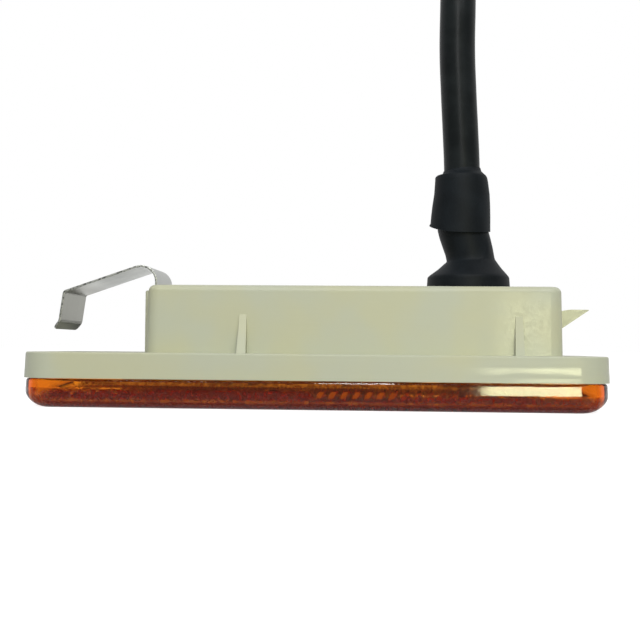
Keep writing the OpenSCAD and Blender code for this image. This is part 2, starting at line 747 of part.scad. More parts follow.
// Plug housing: a thick rear with a bore for each wire seal, a nose and a latch arm on top
module plug_housing() color([0.15, 0.15, 0.16]) translate([plug_x, plug_y, plug_z]) {
    difference() {
        union() {
            rotate([0, 90, 0]) rounded_block(plug_h, plug_w, plug_rear_l, plug_corner_r);
            rotate([0, 90, 0]) rounded_block(plug_nose_h, plug_nose_w, plug_l, plug_corner_r);
            translate([plug_rear_l - past, -latch_w / 2, plug_h / 2 - latch_t])
                cube([plug_nose_l, latch_w, latch_t]);
        }
        for (y = [-1, 1]) translate([0, y * plug_pitch / 2, 0]) rotate([0, 90, 0]) {
            translate([0, 0, -past]) cylinder(h = seal_bore_l + past, r = wire_seal_r + small_fit);
            cylinder(h = plug_l + past, r = terminal_r + small_fit);
        }
        translate([plug_l - lock_t, -lock_w / 2, -lock_h / 2]) cube([lock_t + past, lock_w, lock_h]);
    }
}

// Lock: a plate in the nose's face that keeps the terminals in
module plug_lock() color([0.7, 0.2, 0.15])
    translate([plug_x + plug_l - lock_t, plug_y, plug_z]) difference() {
        translate([0, -lock_w / 2 + small_fit, -lock_h / 2 + small_fit])
            cube([lock_t, lock_w - 2 * small_fit, lock_h - 2 * small_fit]);
        for (y = [-1, 1]) translate([-past, y * plug_pitch / 2, 0]) rotate([0, 90, 0])
            cylinder(h = lock_t + 2 * past, r = 0.7 * terminal_r);
    }

// Seal round the nose, against the plug's shoulder
module plug_seal() color([0.75, 0.3, 0.1])
    translate([plug_x + plug_rear_l, plug_y, plug_z]) rotate([0, 90, 0]) difference() {
        rounded_block(plug_nose_h + 2 * plug_seal_t, plug_nose_w + 2 * plug_seal_t, plug_seal_l,
            plug_corner_r);
        translate([0, 0, -past])
            rounded_block(plug_nose_h + 2 * small_fit, plug_nose_w + 2 * small_fit,
                plug_seal_l + 2 * past, plug_corner_r);
    }

module wire_seal(s) color([0.8, 0.45, 0.1]) {
    l = seal_bore_l - 1;
    ribs = 3;
    translate([plug_x + 0.3, plug_y + side(s) * plug_pitch / 2, plug_z]) rotate([0, 90, 0])
        rotate_extrude($fn = 24) polygon(concat(
            [[wire_r + small_fit, 0], [0.85 * wire_seal_r, 0]],
            [for (i = [0:ribs - 1]) each [
                [wire_seal_r, l * (i + 0.5) / ribs],
                [0.85 * wire_seal_r, l * (i + 1) / ribs],
            ]],
            [[wire_r + small_fit, l]]
        ));
}

// Terminal: a rolled tube with an open mouth for the mating pin
module terminal(s) color([0.8, 0.8, 0.78])
    translate([terminal_x, plug_y + side(s) * plug_pitch / 2, plug_z]) rotate([0, 90, 0]) difference() {
        cylinder(h = terminal_l, r = terminal_r, $fn = 24);
        translate([0, 0, terminal_l / 2]) cylinder(h = terminal_l, r = 0.6 * terminal_r, $fn = 24);
    }

housing();
lens();
spring_clip();
bulb_holder();
holder_seal();
contact("left");  // contact_left
contact("right");  // contact_right
bulb_glass();
bulb_filament();
bulb_lead("left");  // bulb_lead_left
bulb_lead("right");  // bulb_lead_right
boot();
collar();
lamp_wire("left");  // lamp_wire_left
lamp_wire("right");  // lamp_wire_right
conduit();
conduit_end_tube();
plug_wire("left");  // plug_wire_left
plug_wire("right");  // plug_wire_right
plug_housing();
plug_lock();
plug_seal();
wire_seal("left");  // wire_seal_left
wire_seal("right");  // wire_seal_right
terminal("left");  // terminal_left
terminal("right");  // terminal_right
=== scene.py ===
import math

import bmesh
import bpy
from bpy.props import FloatProperty, FloatVectorProperty, IntProperty, PointerProperty
from mathutils import Matrix, Vector


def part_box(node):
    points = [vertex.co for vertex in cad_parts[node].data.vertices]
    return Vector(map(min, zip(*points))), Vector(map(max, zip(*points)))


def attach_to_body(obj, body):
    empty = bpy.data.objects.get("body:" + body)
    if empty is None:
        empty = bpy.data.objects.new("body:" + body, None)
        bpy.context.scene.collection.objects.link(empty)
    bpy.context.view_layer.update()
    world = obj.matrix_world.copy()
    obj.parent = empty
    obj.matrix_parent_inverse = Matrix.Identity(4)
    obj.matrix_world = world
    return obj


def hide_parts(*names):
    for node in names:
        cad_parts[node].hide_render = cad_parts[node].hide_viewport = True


bl_info = {
    "name": "Side marker lamp",
    "version": (1, 0, 0),
    "blender": (4, 5, 0),
    "location": "View3D > Sidebar > Marker lamp",
    "description": "Models a clip-in side marker lamp with its lead around its packed solids",
    "category": "Object",
}

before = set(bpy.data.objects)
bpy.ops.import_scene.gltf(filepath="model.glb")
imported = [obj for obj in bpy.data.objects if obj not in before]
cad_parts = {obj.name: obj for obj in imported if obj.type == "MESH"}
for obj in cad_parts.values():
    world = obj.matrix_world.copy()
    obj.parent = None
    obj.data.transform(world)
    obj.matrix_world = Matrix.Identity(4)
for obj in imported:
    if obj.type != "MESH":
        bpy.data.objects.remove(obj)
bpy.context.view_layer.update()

MM = 0.001
HERE = 1e-6  # distance under which two heights are the same
SIDES = (-1, 1)
TAIL_DEPTH = 12 * MM  # how deep the clip stands in its pocket
PAST = 1 * MM  # how far a cut or a joined block goes on past the face it meets

HOUSING_LOW, HOUSING_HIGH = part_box("housing")
LENS_LOW, LENS_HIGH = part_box("lens")
CLIP_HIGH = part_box("spring_clip")[1]
END_TUBE_LOW, END_TUBE_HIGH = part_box("conduit_end_tube")
PLUG_LOW, PLUG_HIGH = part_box("plug_housing")

# The lead's route, within 0.3 mm of the one in the part's source, in metres
ROUTE = [
    (0.0367, 0, 0.05), (0.0367, 0, 0.0605), (0.0363, 0, 0.07), (0.0358, 0, 0.08),
    (0.0354, 0, 0.091), (0.0355, 0, 0.102), (0.036, 0.004, 0.122), (0.037, 0.0155, 0.139),
    (0.0385, 0.0325, 0.1505), (0.04, 0.0525, 0.1545), (0.0415, 0.0725, 0.1505),
    (0.043, 0.0895, 0.139), (0.044, 0.101, 0.122), (0.0445, 0.105, 0.102),
    (0.045, 0.105, 0.084), (0.0456, 0.105, 0.064), (0.0456, 0.105, 0.0446),
    (0.0426, 0.105, 0.0293), (0.034, 0.105, 0.0164), (0.021, 0.105, 0.0076),
    (0.0056, 0.105, 0.0049), (-0.009, 0.105, 0.0047), (-0.024, 0.105, 0.0046),
    (-0.0385, 0.102, 0.0046), (-0.051, 0.094, 0.0046), (-0.059, 0.0815, 0.0046),
    (-0.062, 0.067, 0.0046), (-0.059, 0.0525, 0.0046), (-0.051, 0.04, 0.0046),
    (-0.0385, 0.032, 0.0046), (-0.024, 0.0292, 0.0048), (-0.012, 0.0294, 0.0052),
    (-0.003, 0.03, 0.0054), (0.005, 0.03, 0.0054), (0.012, 0.03, 0.0054),
]
LEAD_END = Vector(ROUTE[-1])


def length(name, words, mm, **limits):
    """A size that a user may change, given in millimetres."""
    return FloatProperty(
        name=name, description=words, default=mm * MM, unit="LENGTH", precision=5, **limits
    )


def share(name, words, value, **limits):
    """A plain number that a user may change."""
    return FloatProperty(name=name, description=words, default=value, precision=4, **limits)


def colour(name, words, value):
    """A colour that a user may change, in linear light."""
    return FloatVectorProperty(
        name=name, description=words, default=value, subtype="COLOR", size=3, min=0.0, max=1.0
    )


class MarkerLampHousing(bpy.types.PropertyGroup):
    """Sizes of the housing"""

    flange_corner: length("Flange corner", "Radius of the flange's corners", 8.3)
    flange_height: length("Flange height", "Height of the flange's rim", 6.2)
    skirt: length("Skirt", "How far the rim reaches down past the lens's top", 0.15)
    flange_lean: length("Flange lean", "How far the rim leans in towards the back", 0.3)
    flange_edge: length("Flange edge", "Radius along the rim's back edge", 0.4)
    rim: length("Rim wall", "Thickness of the rim", 2.1)
    wall: length("Wall", "Thickness of the other walls", 2.0)
    box_length: length("Box length", "Length of the box behind the flange", 100.1)
    box_width: length("Box width", "Width of the box", 34.0)
    box_middle: length("Box middle", "How far the box's middle lies towards the hook", 9.4)
    box_corner: length("Box corner", "Radius of the box's upright corners", 3.5)
    box_edge: length("Box edge", "Radius round the box's back", 1.5)
    box_lean: length("Box lean", "How far the box's walls lean in", 0.4)
    rib_thickness: length("Rib thickness", "Thickness of the stiffening ribs at the flange", 2.2)
    rib_head: length("Rib head", "Thickness of the stiffening ribs at their top", 1.7)
    rib_height: length("Rib height", "Height of the ribs above the flange", 9.3)
    reach_near_clip: length("Reach near the clip", "How far that pair of ribs stands out", 3.1)
    reach_near_hook: length("Reach near the hook", "How far that pair of ribs stands out", 1.9)
    rib_near_clip: length("Rib near the clip", "Where that pair of ribs stands", -16.65)
    rib_near_hook: length("Rib near the hook", "Where that pair of ribs stands", 48.7)
    hook_width: length("Hook width", "Width of the hook", 14.0)
    hook_rise: length("Hook rise", "Height of the hook's top above the flange", 11.4)
    hook_reach: length("Hook reach", "How far the hook reaches past the box", 7.6)
    hook_root: length("Hook root", "Depth of the hook where it leaves the box", 5.4)
    pocket_height: length("Pocket height", "Height of the clip's pocket above the flange", 15.3)
    pocket_reach: length("Pocket reach", "How far the clip's pocket stands out of the box", 1.3)
    pocket_wall: length("Pocket wall", "Thickness of the pocket's side walls", 1.25)
    fillet: length("Fillet", "Radius along the moulding's inner and outer edges", 0.28)


class MarkerLampLens(bpy.types.PropertyGroup):
    """Sizes of the lens"""

    height: length("Height", "Height of the lens, from its face to its rim", 6.85)
    corner: length("Corner", "Radius of the lens's corners", 8.0)
    edge: length("Edge", "Radius round the lens face", 4.15)
    end_reach: length("End reach", "How far from each end the face's edge starts to rise", 7.0)
    end_rise: length("End rise", "How far the face's edge rises at each end", 1.3)
    face: length("Face", "Thickness of the lens face", 2.0)
    wall: length("Wall", "Thickness of the lens wall", 2.5)
    tongue_inset: length("Tongue inset", "How far the tongue lies inside the flange", 2.35)
    tongue: length("Tongue", "Thickness of the tongue", 1.5)
    lean: length("Lean", "How far the lens wall leans in over its height", 0.44)
    prism_start: length("Prism start", "Where the row of prisms starts", 0.6)
    prism_pitch: length("Prism pitch", "Distance from one prism to the next", 2.8)
    prism_depth: length("Prism depth", "How far the prisms reach back from the lens wall", 4.2)
    prism_height: length("Prism height", "Height of the prisms", 2.7)
    prism_count: IntProperty(name="Prisms", description="How many prisms there are", default=13, min=1)
    flute_pitch: length("Flute pitch", "Distance from one flute to the next", 2.1)
    flute_height: length("Flute height", "Height of the flutes", 0.4)
    dome_pitch: length("Dome pitch", "Distance from one dome to the next", 5.4)
    dome_height: length("Dome height", "Height of the domes", 1.9)
    dome_rows: IntProperty(name="Dome rows", description="How many rows of domes", default=2, min=1)
    fine_pitch: length("Fine pitch", "Distance from one fine ridge to the next", 1.05)
    fine_height: length("Fine height", "Height of the fine ridges", 0.25)


class MarkerLampClip(bpy.types.PropertyGroup):
    """Sizes of the spring clip"""

    width: length("Width", "Width of the strip", 18.0)
    thickness: length("Thickness", "Thickness of the strip", 0.5)
    place: length("Place", "Where the strip stands in the housing's end wall", -39.65)
    bend: length("Bend", "Radius of the big bend, at the middle of the strip", 3.88)
    fold: length("Fold", "Radius of the fold between arm and leg", 0.9)
    flick: length("Flick", "Radius of the bend between leg and foot", 2.0)
    rise: length("Rise", "How far the strip rises out of the housing before it bends", 1.17)
    arm: length("Arm", "Straight length of the arm", 18.62)
    leg: length("Leg", "Straight length of the leg that grips the panel", 6.4)
    foot: length("Foot", "Length of the foot", 1.8)
    slope: share("Slope", "Slope of the arm, in degrees", 19.0)
    lean: share("Lean", "How far the leg leans away, in degrees", 8.0)
    kick: share("Kick", "Angle of the foot from the leg, in degrees", 30.0)


class MarkerLampLead(bpy.types.PropertyGroup):
    """Sizes of the lead and what is on it"""

    sleeve: length("Sleeve", "Diameter of the lead's sleeve", 9.06)
    wire: length("Wire", "Diameter of each wire", 2.0)
    plug_pitch: length("Plug pitch", "Distance between the plug's two ways", 6.0)


class MarkerLampColours(bpy.types.PropertyGroup):
    """Colours of the lamp's materials"""

    moulding: colour("Moulding", "Pale grey-green plastic of the housing", (0.50, 0.515, 0.387))
    amber: colour("Amber", "What the lens lets through in one millimetre", (0.975, 0.745, 0.33))
    haze: colour("Haze", "Amber plastic where it scatters the light", (0.33, 0.03, 0.004))
    # Painted light: the colour painted on the lens wall where a prism behind it is lit
    painted_prism_light: colour("Lit prism", "Amber plastic where a prism is lit", (0.4, 0.075, 0.004))
    steel: colour("Steel", "Spring steel of the clip", (0.60, 0.615, 0.58))
    rubber: colour("Rubber", "Black rubber of the boot", (0.0062, 0.0083, 0.0105))
    sleeve: colour("Sleeve", "Black sleeve of the lead", (0.0095, 0.0115, 0.0125))


class MarkerLampStage(bpy.types.PropertyGroup):
    """Camera, floor and light"""

    focal: share("Focal length", "Camera's focal length in millimetres", 53.2)
    yaw: share("Yaw", "Turn of the camera to the left, in degrees", 3.208)
    pitch: share("Pitch", "Tilt of the camera upwards, in degrees", 1.682)
    roll: share("Roll", "Roll of the camera, in degrees", 0.519)
    front: share("Front", "How bright the room behind the camera is", 0.2)
    back: share("Back", "How bright the backdrop shines on the lamp", 0.6)
    floor: share("Floor", "How white the floor is where nothing shades it", 0.9)
    key: share("Key", "Power of the small softbox in front, in watts", 0.45)
    sheen: share("Sheen", "Power of the strip light that shines on the lead, in watts", 0.75)
    top: share("Top", "Power of the softbox above, in watts", 5.75)


GROUPS = {
    "housing": MarkerLampHousing,
    "lens": MarkerLampLens,
    "clip": MarkerLampClip,
    "lead": MarkerLampLead,
    "colours": MarkerLampColours,
    "stage": MarkerLampStage,
}


class MarkerLamp(bpy.types.PropertyGroup):
    """All settings of the lamp"""

    housing: PointerProperty(type=MarkerLampHousing)
    lens: PointerProperty(type=MarkerLampLens)
    clip: PointerProperty(type=MarkerLampClip)
    lead: PointerProperty(type=MarkerLampLead)
    colours: PointerProperty(type=MarkerLampColours)
    stage: PointerProperty(type=MarkerLampStage)


def settings():
    """The lamp's settings in the open scene."""
    return bpy.context.scene.marker_lamp


# Materials


class Socket:
    """An output of a shader node. Arithmetic on it adds Math nodes."""

    def __init__(self, finish, output):
        self.finish = finish
        self.output = output

    def maths(self, operation, *values):
        return self.finish.add("ShaderNodeMath", {"operation": operation}, dict(enumerate(values)))

    def __add__(self, other):
        return self.maths("ADD", self, other)

    def __sub__(self, other):
        return self.maths("SUBTRACT", self, other)

    def __rsub__(self, other):
        return self.maths("SUBTRACT", other, self)

    def __mul__(self, other):
        return self.maths("MULTIPLY", self, other)

    def __truediv__(self, other):
        return self.maths("DIVIDE", self, other)

    __radd__ = __add__
    __rmul__ = __mul__

    def over(self, low, high):
        """0 at low and 1 at high, and smooth between them."""
        return self.finish.add(
            "ShaderNodeMapRange",
            {"interpolation_type": "SMOOTHSTEP"},
            {"Value": self, "From Min": low, "From Max": high},
        )

    def part(self):
        """What is left of the number after its whole part."""
        return self.maths("FRACT", self)

    def size(self):
        """The number without its sign."""
        return self.maths("ABSOLUTE", self)

    def either(self, other):
        """The larger of two numbers."""
        return self.maths("MAXIMUM", self, other)


class Finish:
    """One material, built node by node."""

    def __init__(self, name, holder=None):
        self.material = holder or bpy.data.materials.new(name)
        self.material.use_nodes = True
        self.tree = self.material.node_tree
        self.tree.nodes.clear()

    def add(self, kind, choices=None, inputs=None, output=0):
        """Adds a node: its choices are set first, then the values or links of its sockets."""
        node = self.tree.nodes.new(kind)
        for key, value in (choices or {}).items():
            setattr(node, key, value)
        for key, value in (inputs or {}).items():
            self.feed(node.inputs[key], value)
        return Socket(self, node.outputs[output])

    def feed(self, socket, value):
        """Links a socket to an output, or gives it a value."""
        if isinstance(value, Socket):
            self.tree.links.new(value.output, socket)
        elif hasattr(value, "__len__") and len(value) == 3 and socket.type == "RGBA":
            socket.default_value = (*value, 1.0)
        else:
            socket.default_value = value

    def place(self, scale=(1, 1, 1)):
        """Object coordinates, stretched by scale."""
        spot = self.add("ShaderNodeTexCoord", output="Object")
        return self.add("ShaderNodeMapping", None, {"Vector": spot, "Scale": scale})

    def axes(self):
        """The three object coordinates, each by itself."""
        parts = self.add("ShaderNodeSeparateXYZ", None, {"Vector": self.place()})
        outputs = parts.output.node.outputs
        return [Socket(self, outputs[name]) for name in "XYZ"]

    def noise(self, scale, detail=3.0, rough=0.5, stretch=(1, 1, 1)):
        """Noise from 0 to 1, with scale in features per metre."""
        return self.add(
            "ShaderNodeTexNoise",
            None,
            {"Vector": self.place(stretch), "Scale": scale, "Detail": detail, "Roughness": rough},
        )

    def mix(self, mask, first, second):
        """A colour that goes from first to second as mask goes from 0 to 1."""
        inputs = {0: mask, 6: first, 7: second}
        return self.add("ShaderNodeMix", {"data_type": "RGBA"}, inputs, output=2)

    def bump(self, height, strength, distance, under=None):
        """A normal that is raised by height, over an earlier bump if one is given."""
        inputs = {"Height": height, "Strength": strength, "Distance": distance}
        if under is not None:
            inputs["Normal"] = under
        return self.add("ShaderNodeBump", None, inputs)

    def surface(self, **inputs):
        """A principled shader, with socket names written with underscores."""
        named = {key.replace("_", " "): value for key, value in inputs.items()}
        return self.add("ShaderNodeBsdfPrincipled", None, named)

    def done(self, **inputs):
        """Ends the material in one shader and returns it."""
        return self.finish(self.surface(**inputs))

    def finish(self, surface, volume=None):
        """Ends the tree in its output and returns the material."""
        out = self.tree.nodes.new("ShaderNodeOutputMaterial")
        self.feed(out.inputs["Surface"], surface)
        if volume is not None:
            self.feed(out.inputs["Volume"], volume)
        return self.material


def shade(value, factor):
    """A colour made darker or lighter."""
    return tuple(min(1.0, part * factor) for part in value)


def band(value, low, low_full, high_full, high):
    """1 between the two inner limits, 0 outside the two outer ones."""
    return value.over(low, low_full) * (1 - value.over(high_full, high))


# Heights between which the flange's rim and the box shine more, each from 0 to full and back to 0
UPPER_BAND = (8.6 * MM, 9.1 * MM, 10.4 * MM, 10.9 * MM)
LOWER_BAND = (7.1 * MM, 7.3 * MM, 7.9 * MM, 8.2 * MM)
BOX_SHINE_LOW, BOX_SHINE_HIGH = 13 * MM, 13.4 * MM
BOX_SHINE_START, BOX_SHINE_END = 41 * MM, 47 * MM
RIM_SHINE_START, RIM_SHINE_END = 30 * MM, 60 * MM


def moulded_plastic():
    """Pale grey-green plastic, semi-gloss, with the long faint ripples of a moulding."""
    look = Finish("moulded_plastic")
    base = settings().colours.moulding
    patches = look.noise(60, detail=2)
    flow = look.noise(900, detail=2, stretch=(0.06, 1, 1))
    grain = look.noise(5200, detail=2)
    warm = (base[0] * 1.02, base[1], base[2] * 0.95)
    cool = (base[0] * 0.98, base[1] * 0.99, base[2] * 1.04)
    tint = look.mix(patches.over(0.35, 0.65), warm, cool)
    ripples = look.bump(flow, 0.35, 0.00006)
    skin = look.bump(grain, 0.10, 0.00002, under=ripples)
    along, _, up = look.axes()
    streaks = look.noise(800, detail=2, stretch=(0.09, 1, 1)).over(0.3, 0.62)
    bright = 0.25 + 0.75 * along.over(RIM_SHINE_START, RIM_SHINE_END)
    bands = streaks * bright * (band(up, *UPPER_BAND) + 0.6 * band(up, *LOWER_BAND))
    box_end = along.over(BOX_SHINE_START, BOX_SHINE_END)
    blotches = look.noise(1700, detail=3).over(0.36, 0.64)
    on_box = up.over(BOX_SHINE_LOW, BOX_SHINE_HIGH) * box_end * blotches
    return look.done(
        Base_Color=tint,
        Roughness=0.32 + patches * 0.08 + grain * 0.04,
        Specular_IOR_Level=0.22,
        Coat_Weight=0.4 * bands + 0.17 * on_box,
        Coat_Roughness=0.09,
        Normal=skin,
    )


PEBBLE_INSET = 1.3 * MM  # how far the pebbles stay from the lens's edges
PEBBLE_TOP = 4.2 * MM  # height up to which the lens is pebbled
PEBBLE_DROP = 0.9 * MM  # how much lower that is towards the hook, and again at the prisms
PEBBLE_FADE = 0.7 * MM
PRISMS_FADE, PRISMS_GONE = 19 * MM, 21 * MM  # where the prisms stop showing through the wall
WORN_START, WORN_END = 24 * MM, 30 * MM  # past here the lens wall is a little duller


def amber_plastic():
    """Clear amber plastic, coloured by how deep light passes, hazy where it is pebbled, with painted
    light where a lit prism shows through the wall.
    """
    look = Finish("amber_plastic")
    amber = settings().colours.amber
    depth = [-math.log(part) / MM for part in amber]
    density = max(depth)
    along, across, up = look.axes()
    inset = PEBBLE_INSET
    ends = 1 - along.size().over(LENS_HIGH.x - 3 * inset, LENS_HIGH.x - 2 * inset)
    walls = 1 - across.size().over(LENS_HIGH.y - inset, LENS_HIGH.y - inset / 2)
    from_prisms = along.over(0, 1 * MM)
    prisms = from_prisms * (1 - along.over(PRISMS_FADE, PRISMS_GONE))
    top = PEBBLE_TOP - PEBBLE_DROP * from_prisms - PEBBLE_DROP * prisms
    pebbled = ends * walls * band(up, inset / 2, inset, top, top + PEBBLE_FADE)
    pebbles = look.noise(1000, detail=2).over(0.36, 0.64)
    waves = look.bump(look.noise(1500, detail=2), 0.06, 0.00002)
    skin = look.bump(pebbles * pebbled, 0.5, 0.0002, under=waves)
    clear = look.surface(
        Base_Color=(1.0, 1.0, 1.0),
        Roughness=0.03 + 0.03 * along.over(WORN_START, WORN_END) + 0.1 * pebbled,
        IOR=1.49,
        Specular_IOR_Level=0.17,
        Transmission_Weight=1.0,
        Normal=skin,
    )
    # Painted light: the prisms' lit sides are painted onto the lens wall as a brighter, hazier amber
    lit = painted_prism_mask(along, up)
    hazy = look.surface(
        Base_Color=look.mix(lit, settings().colours.haze, settings().colours.painted_prism_light),
        Roughness=0.4,
        Specular_IOR_Level=0.05,
        Normal=skin,
    )
    share_of_haze = 0.04 + pebbled * (0.34 + 0.4 * pebbles) + 0.6 * lit
    both = look.add("ShaderNodeMixShader", None, {0: share_of_haze, 1: clear, 2: hazy})
    absorb = look.add(
        "ShaderNodeVolumeAbsorption",
        None,
        {"Color": tuple(1 - part / density for part in depth), "Density": density},
    )
    return look.finish(both, absorb)


# These two numbers shape the painted light of the prisms' lit sides
LIT_FROM = 0.8 * MM  # height above the lens face at which the prisms' lit sides start
LIT_LEAN = 0.4  # how far those sides lean over their height, in prism pitches


def painted_prism_mask(along, up):
    """Painted light: 1 where the lens wall is painted with the lit side of a prism behind it, and 0
    elsewhere.
    """
    lens = settings().lens
    low = lens.face + LIT_FROM
    rise = (up - low) / (lens.face + lens.prism_height - low)
    step = (along - lens.prism_start) / lens.prism_pitch
    across = (step - LIT_LEAN * rise).part()
    sides = band(across, 0.1, 0.2, 0.55, 0.68)
    last = lens.prism_count
    ends = step.over(0, 0.5) * (1 - 0.75 * step.over(6, 8)) * (1 - step.over(last - 1, last))
    return sides * ends * band(rise, 0, 0.15, 0.8, 1)


# Places along X between which painted shade on the clip changes: leg to arm, and arm to bend
LEG_END, ARM_START = -60 * MM, -55 * MM
ARM_END, BEND_START = -46 * MM, -42 * MM
# Painted shade: the leg's darker colour stands in for the dim surroundings it reflects
LEG_PAINTED_SHADE = (0.265, 0.265, 0.23)


def spring_steel():
    """Bright rolled strip, brushed along its length, with painted shade that darkens its leg and its
    bend.
    """
    look = Finish("spring_steel")
    steel = settings().colours.steel
    lines = look.noise(2600, detail=3, stretch=(0.04, 1, 0.04))
    patches = look.noise(220, detail=2)
    tint = look.mix(patches.over(0.3, 0.7), steel, shade(steel, 0.88))
    along = look.axes()[0]
    leg = 1 - along.over(LEG_END, ARM_START)
    bend = along.over(ARM_END, BEND_START)
    # Painted shade: the leg and the bend are coloured darker than the arm
    painted_shade_tint = look.mix(leg, look.mix(bend, tint, shade(steel, 0.8)), LEG_PAINTED_SHADE)
    return look.done(
        Base_Color=painted_shade_tint,
        Metallic=1.0,
        Roughness=0.26 + lines * 0.12,
        Normal=look.bump(lines, 0.12, 0.00002),
    )


def sheared_edge():
    """The strip's edge: half sheared bright and half torn dark."""
    look = Finish("sheared_edge")
    steel = settings().colours.steel
    torn = look.noise(1400, detail=4, rough=0.7)
    tint = look.mix(torn.over(0.38, 0.52), shade(steel, 0.2), shade(steel, 0.8))
    return look.done(
        Base_Color=tint, Metallic=1.0, Roughness=0.42, Normal=look.bump(torn, 0.6, 0.00005)
    )


def black_rubber(name, base, roughness, grain_scale, gloss=0.12):
    """Soft black rubber or plastic with a fine grain."""
    look = Finish(name)
    grain = look.noise(grain_scale, detail=3)
    bloom = look.noise(160, detail=2)
    tint = look.mix(bloom.over(0.35, 0.7), base, shade(base, 1.5))
    return look.done(
        Base_Color=tint,
        Roughness=roughness + bloom * 0.12,
        Specular_IOR_Level=gloss,
        Normal=look.bump(grain, 0.25, 0.00003),
    )


def coloured_moulding(name, base, roughness, grain_scale=2500):
    """Plain coloured plastic or silicone with a fine grain."""
    look = Finish(name)
    grain = look.noise(grain_scale, detail=3)
    tint = look.mix(look.noise(300, detail=2).over(0.3, 0.7), base, shade(base, 0.86))
    return look.done(
        Base_Color=tint, Roughness=roughness, Normal=look.bump(grain, 0.2, 0.00003)
    )


def small_metal(name, base, roughness):
    """Plated or bare metal of the small parts."""
    look = Finish(name)
    lines = look.noise(3000, detail=2)
    tint = look.mix(lines.over(0.3, 0.7), base, shade(base, 0.8))
    return look.done(
        Base_Color=tint, Metallic=1.0, Roughness=roughness, Normal=look.bump(lines, 0.1, 0.00002)
    )


def bulb_glass_clear():
    """Clear thin glass with faint streaks."""
    look = Finish("bulb_glass_clear")
    streaks = look.noise(500, detail=1)
    return look.done(
        Base_Color=(0.95, 0.97, 0.98),
        Roughness=0.01,
        IOR=1.5,
        Transmission_Weight=1.0,
        Normal=look.bump(streaks, 0.05, 0.00003),
    )


FINISHES = {}


def finishes():
    """Makes each material once and returns them by name."""
    if not FINISHES:
        colours = settings().colours
        FINISHES.update(
            {
                "housing": moulded_plastic(),
                "lens": amber_plastic(),
                "spring_steel": spring_steel(),
                "sheared_edge": sheared_edge(),
                "boot_rubber": black_rubber("boot_rubber", colours.rubber, 0.46, 3000),
                "shrink_tube": black_rubber("shrink_tube", colours.rubber, 0.5, 1600),
                "sleeve": black_rubber("sleeve", colours.sleeve, 0.26, 2200, gloss=0.1),
                "seal_rubber": black_rubber("seal_rubber", colours.rubber, 0.6, 2600),
                "holder": coloured_moulding("holder", (0.03, 0.03, 0.032), 0.45),
                "plug": coloured_moulding("plug", (0.018, 0.018, 0.02), 0.42),
                "plug_lock": coloured_moulding("plug_lock", (0.42, 0.05, 0.025), 0.4),
                "silicone": coloured_moulding("silicone", (0.55, 0.16, 0.03), 0.5),
                "wire_black": coloured_moulding("wire_black", (0.012, 0.012, 0.012), 0.35),
                "wire_brown": coloured_moulding("wire_brown", (0.09, 0.03, 0.012), 0.35),
                "contact_brass": small_metal("contact_brass", (0.78, 0.57, 0.22), 0.25),
                "lead_wire": small_metal("lead_wire", (0.5, 0.5, 0.52), 0.3),
                "filament": small_metal("filament", (0.2, 0.2, 0.21), 0.4),
                "terminal": small_metal("terminal", (0.66, 0.66, 0.64), 0.3),
                "bulb_glass": bulb_glass_clear(),
            }
        )
    return FINISHES


# Shapes


def bevel(bm, geom, radius, steps, affect="EDGES", clamp=False):
    """Rounds edges or corners."""
    bmesh.ops.bevel(
        bm,
        geom=geom,
        affect=affect,
        offset=radius,
        segments=steps,
        profile=0.5,
        material=-1,
        clamp_overlap=clamp,
    )


def outwards(bm):
    """Turns all faces outwards."""
    bmesh.ops.recalc_face_normals(bm, faces=bm.faces)


def slab(long, wide, corner, low, high, lean=0.0, middle=0.0, steps=10):
    """An upright block with round corners, whose walls lean in by lean at the top."""
    bm = bmesh.new()
    bmesh.ops.create_cube(bm, size=1.0)
    bmesh.ops.scale(bm, vec=(long, wide, high - low), verts=bm.verts)
    bmesh.ops.translate(bm, vec=(0, 0, (low + high) / 2), verts=bm.verts)
    upright = [e for e in bm.edges if abs(e.verts[0].co.z - e.verts[1].co.z) > HERE]
    bevel(bm, upright, corner, steps)
    if lean:
        for vert in bm.verts:
            if vert.co.z > high - HERE:
                core_x = max(-long / 2 + corner, min(long / 2 - corner, vert.co.x))
                core_y = max(-wide / 2 + corner, min(wide / 2 - corner, vert.co.y))
                core = Vector((core_x, core_y, vert.co.z))
                vert.co = core + (vert.co - core) * (1 - lean / corner)
    bmesh.ops.translate(bm, vec=(middle, 0, 0), verts=bm.verts)
    return bm


def round_level(bm, level, radius, steps=6):
    """Rounds the edges that lie at one height."""
    edges = [e for e in bm.edges if all(abs(v.co.z - level) < HERE for v in e.verts)]
    bevel(bm, edges, radius, steps)
    return bm


def block(low, high):
    """A plain box between two corners."""
    bm = bmesh.new()
    bmesh.ops.create_cube(bm, size=1.0)
    low, high = Vector(low), Vector(high)
    bmesh.ops.scale(bm, vec=high - low, verts=bm.verts)
    bmesh.ops.translate(bm, vec=(low + high) / 2, verts=bm.verts)
    return bm


def bar(outline, depth):
    """A bar whose section is an outline of a few points, pushed through by depth."""
    bm = bmesh.new()
    face = bm.faces.new([bm.verts.new(point) for point in outline])
    made = bmesh.ops.extrude_face_region(bm, geom=[face])
    moved = [v for v in made["geom"] if isinstance(v, bmesh.types.BMVert)]
    bmesh.ops.translate(bm, vec=depth, verts=moved)
    outwards(bm)
    return bm


def drum(radius, low, high, middle=(0, 0), sides=64):
    """An upright cylinder."""
    bm = bmesh.new()
    bmesh.ops.create_cone(
        bm, cap_ends=True, segments=sides, radius1=radius, radius2=radius, depth=high - low
    )
    bmesh.ops.translate(bm, vec=(*middle, (low + high) / 2), verts=bm.verts)
    return bm


def solid(name, bm):
    """Turns a bmesh into an object of the scene."""
    mesh = bpy.data.meshes.new(name)
    bm.to_mesh(mesh)
    bm.free()
    made = bpy.data.objects.new(name, mesh)
    bpy.context.scene.collection.objects.link(made)
    return made


